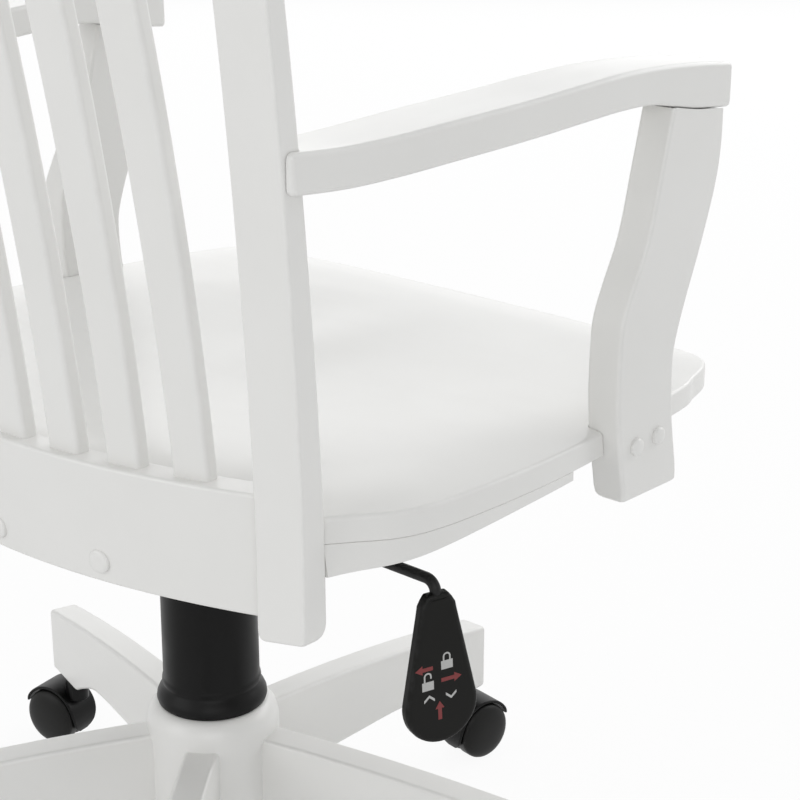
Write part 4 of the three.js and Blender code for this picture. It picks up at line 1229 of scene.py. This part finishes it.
# %% Caster forms
WHEEL_RADIUS = 25
WHEEL_WIDE = 16.5
WHEEL_GAP = 7.6
TRAIL = 21
HOOD_IN = WHEEL_RADIUS + 1.4
HOOD_OUT = HOOD_IN + 2.6
HOOD_HALF = WHEEL_GAP / 2 + WHEEL_WIDE - 4.4
STEM_AT = LEG_REACH - 24
TRAIL_ANGLES = [-98, 11, 32, 148, 169]
WHEEL_PROFILE = [(3.4, 0), (23.4, 0), (24.3, 0.4), (25, 1.4), (25, 9.2), (24.85, 10.4),
                 (24.3, 11.6), (23.3, 12.7), (21.6, 13.8), (19.2, 14.7), (16, 15.45), (12.2, 16),
                 (8, 16.35), (4, 16.48), (0.3, 16.5)]
to_axle = Matrix.Rotation(math.pi / 2, 4, "X")


def hood_form():
    steps = 40
    sections = []
    for i in range(steps + 1):
        angle = math.radians(lerp(20, 205, i / steps))
        out = Vector((math.cos(angle), 0, math.sin(angle)))
        grow = min(1, min(i, steps - i) / 3)
        centre = out * ((HOOD_IN + HOOD_OUT) / 2)
        tongue = max(0, i / steps - 0.68) / 0.32
        half = HOOD_HALF * math.sqrt(1 - 0.8 * tongue ** 2.6) - 1.5 * (1 - grow) ** 2
        thick = (HOOD_OUT - HOOD_IN) * (0.7 + 0.3 * grow)
        sections.append((centre, Y, out, 2 * half, thick, 1.2))
    form = bar(sections)
    web = turned([(0, -3.4), (20.5, -3.4), (21, -3), (21, 3), (20.5, 3.4), (0, 3.4)], 48)
    form.add(web, to_axle)
    angles = [math.pi * (0.4 + 0.6 * k / 20) for k in range(21)]
    rib = [(0, 0)] + arc(HOOD_IN + 1, angles)
    form.add(board(rib, 6.8, 0.4, 2), on_axes(X, Z, -Y, (0, 3.4, 0)))
    axle = turned([(0, -15.5), (2.6, -15.5), (3, -15), (3, 15), (2.6, 15.5), (0, 15.5)], 24)
    form.add(axle, to_axle)
    boss_top = PAD_Z - 2.6
    boss = turned([(5.9, 43.9), (9.2, 43.9), (10, 44.8), (10, boss_top - 1.2), (8.8, boss_top),
                   (5.9, boss_top)], 40, closed=True)
    return form.moved(Matrix.Translation((TRAIL, 0, WHEEL_RADIUS))).add(boss)


wheel = turned(WHEEL_PROFILE).moved(Matrix.Rotation(-math.pi / 2, 4, "X"))
hood = hood_form()
stem = turned([(0, 44.3), (4.6, 44.3), (5.5, 45.2), (5.5, PAD_Z - 2.3), (8, PAD_Z - 2.3),
               (8.5, PAD_Z - 1.9), (8.5, PAD_Z - 0.6), (8, PAD_Z - 0.3), (5.5, PAD_Z - 0.3),
               (5.5, PAD_Z + 33), (4.6, PAD_Z + 34), (0, PAD_Z + 34)], 32)
for k, (angle, trail) in enumerate(zip(LEG_ANGLES, TRAIL_ANGLES)):
    turn = math.radians(angle)
    at = Matrix.Translation((STEM_AT * math.cos(turn), STEM_AT * math.sin(turn), 0))
    at = at @ Matrix.Rotation(math.radians(trail), 4, "Z")
    n = k + 1
    make_piece(f"stem_{n}", stem.moved(at), f"caster_{n}", steel, [f"caster_stem_{n}"])
    black_piece(f"hood_{n}", hood.moved(at), f"caster_{n}", satin_plastic, [f"caster_hood_{n}"])
    for side, gap, face in (("left", WHEEL_GAP / 2, Matrix()),
                            ("right", -WHEEL_GAP / 2, Matrix.Rotation(math.pi, 4, "Z"))):
        hung = at @ Matrix.Translation((TRAIL, gap, WHEEL_RADIUS)) @ face
        name = f"wheel_{n}_{side}"
        black_piece(name, wheel.moved(hung), name, wheel_plastic, [f"caster_{name}"])

# %% [markdown]
# ## The mechanism
#
# The CAD solids under the seat have the right shapes, so they stay and only get their
# finish. A small bevel modifier breaks their edges, because no steel edge is quite sharp.

# %% Finishes for the carried-over nodes
KEPT = {
    "hub_bush": steel, "gas_cylinder": steel, "gas_piston_rod": steel, "gas_valve_pin": steel,
    "tilt_housing": coated_metal, "tilt_pin": steel, "tilt_spring": steel, "tension_bolt": steel,
    "tension_knob": satin_plastic, "release_arm": coated_metal, "seat_plate": coated_metal,
}
for name, finish in KEPT.items():
    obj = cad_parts[name]
    if not obj.material_slots:
        obj.data.materials.append(finish)
    for slot in obj.material_slots:
        slot.material = finish
    if name not in ("tilt_spring", "gas_valve_pin"):
        soft = obj.modifiers.new("broken_edges", "BEVEL")
        soft.width = 0.0005
        soft.segments = 2
        soft.limit_method = "ANGLE"
        soft.angle_limit = math.radians(35)
print("kept CAD nodes", len(KEPT))

# %% [markdown]
# Four pan-head screws hold the seat plate to the seat, one near each corner.

# %% Screws under the plate
PLATE_Z = STRIP_TOP - 3
screw = turned([(0, 0.4), (5.2, 0.4), (5.2, -0.6), (4.6, -1.9), (3.2, -2.8), (1.4, -3.1),
                (1.3, -1.6), (0, -1.6)], 32)
for k, (x, y) in enumerate(((-78, -104), (78, -104), (-78, 74), (78, 74))):
    make_piece(f"plate_screw_{k + 1}", screw.moved(Matrix.Translation((x, y, PLATE_Z))),
               "seat", steel)

# %% [markdown]
# ## Studio
#
# The photograph was taken in a white studio: broad light, fill from all round and a
# background that runs out to white. The world gives the fill, and four large lamps stand
# round the chair, the one in front of it the strongest. The floor is pale and keeps the
# chair's shadow. Camera, glossy and transmission rays see it almost white.

# %% Floor and background
def background_rays(tree):
    """1 for rays that see the white background: camera, glossy and transmission rays."""
    paths = node(tree, "ShaderNodeLightPath", (-900, 300))
    direct = node(tree, "ShaderNodeMath", (-740, 300), operation="MAXIMUM")
    every = node(tree, "ShaderNodeMath", (-580, 300), operation="MAXIMUM")
    wire(tree, (paths, "Is Camera Ray", direct, 0), (paths, "Is Transmission Ray", direct, 1),
         (direct, 0, every, 0), (paths, "Is Glossy Ray", every, 1))
    return every


floor_mesh = bpy.data.meshes.new("floor")
floor_mesh.from_pydata([(-14, -14, 0), (14, -14, 0), (14, 14, 0), (-14, 14, 0)], [], [(0, 1, 2, 3)])
floor = bpy.data.objects.new("floor", floor_mesh)
bpy.context.scene.collection.objects.link(floor)
floor_finish, tree, shader = finish_of("studio_floor", (0.92, 0.92, 0.92), 0.9, specular=0.1)
glow = node(tree, "ShaderNodeEmission", (0, -300), inputs={"Color": (1, 1, 1, 1), "Strength": 1.0})
seen = node(tree, "ShaderNodeMath", (-460, 300), operation="MULTIPLY", inputs={1: 0.93})
mixed = node(tree, "ShaderNodeMixShader", (300, 0))
wire(tree, (background_rays(tree), 0, seen, 0), (seen, 0, mixed, 0), (shader, 0, mixed, 1),
     (glow, 0, mixed, 2), (mixed, 0, tree.nodes["Material Output"], "Surface"))
floor_mesh.materials.append(floor_finish)

world = bpy.data.worlds.new("studio")
world.use_nodes = True
bpy.context.scene.world = world
tree = world.node_tree
base = tree.nodes["Background"]
base.inputs["Color"].default_value = (0.98, 0.99, 1, 1)
base.inputs["Strength"].default_value = 0.55
white = node(tree, "ShaderNodeBackground", (0, -200),
             inputs={"Color": (1, 1, 1, 1), "Strength": 1.0})
mixed = node(tree, "ShaderNodeMixShader", (300, 0))
wire(tree, (background_rays(tree), 0, mixed, 0), (base, 0, mixed, 1), (white, 0, mixed, 2),
     (mixed, 0, tree.nodes["World Output"], "Surface"))


# %% Lamps
def soft_lamp(name, at, aim, size, power):
    data = bpy.data.lights.new(name, "AREA")
    data.shape = "RECTANGLE"
    data.size, data.size_y = size
    data.energy = power
    lamp = bpy.data.objects.new(name, data)
    lamp.location = at
    lamp.rotation_euler = (Vector(aim) - Vector(at)).to_track_quat("-Z", "Y").to_euler()
    bpy.context.scene.collection.objects.link(lamp)


soft_lamp("far_light", (3.2, -4.0, 1.9), (0, 0, 0.2), (6, 3), 46)
soft_lamp("rear_light", (2.0, 5.6, 2.6), (0, 0, 0.4), (4, 3.6), 80)
soft_lamp("front_light", (-1.2, -5.2, 3.2), (0, 0, 0.4), (4.8, 2.8), 120)
soft_lamp("fill_light", (-4.2, 4.0, 2.2), (0, 0, 0.3), (3.6, 3), 52)
bpy.context.scene.view_settings.view_transform = "Standard"

# %% Sizes and finish
print("pieces made", len(made), "points", sum(len(o.data.vertices) for o in made))
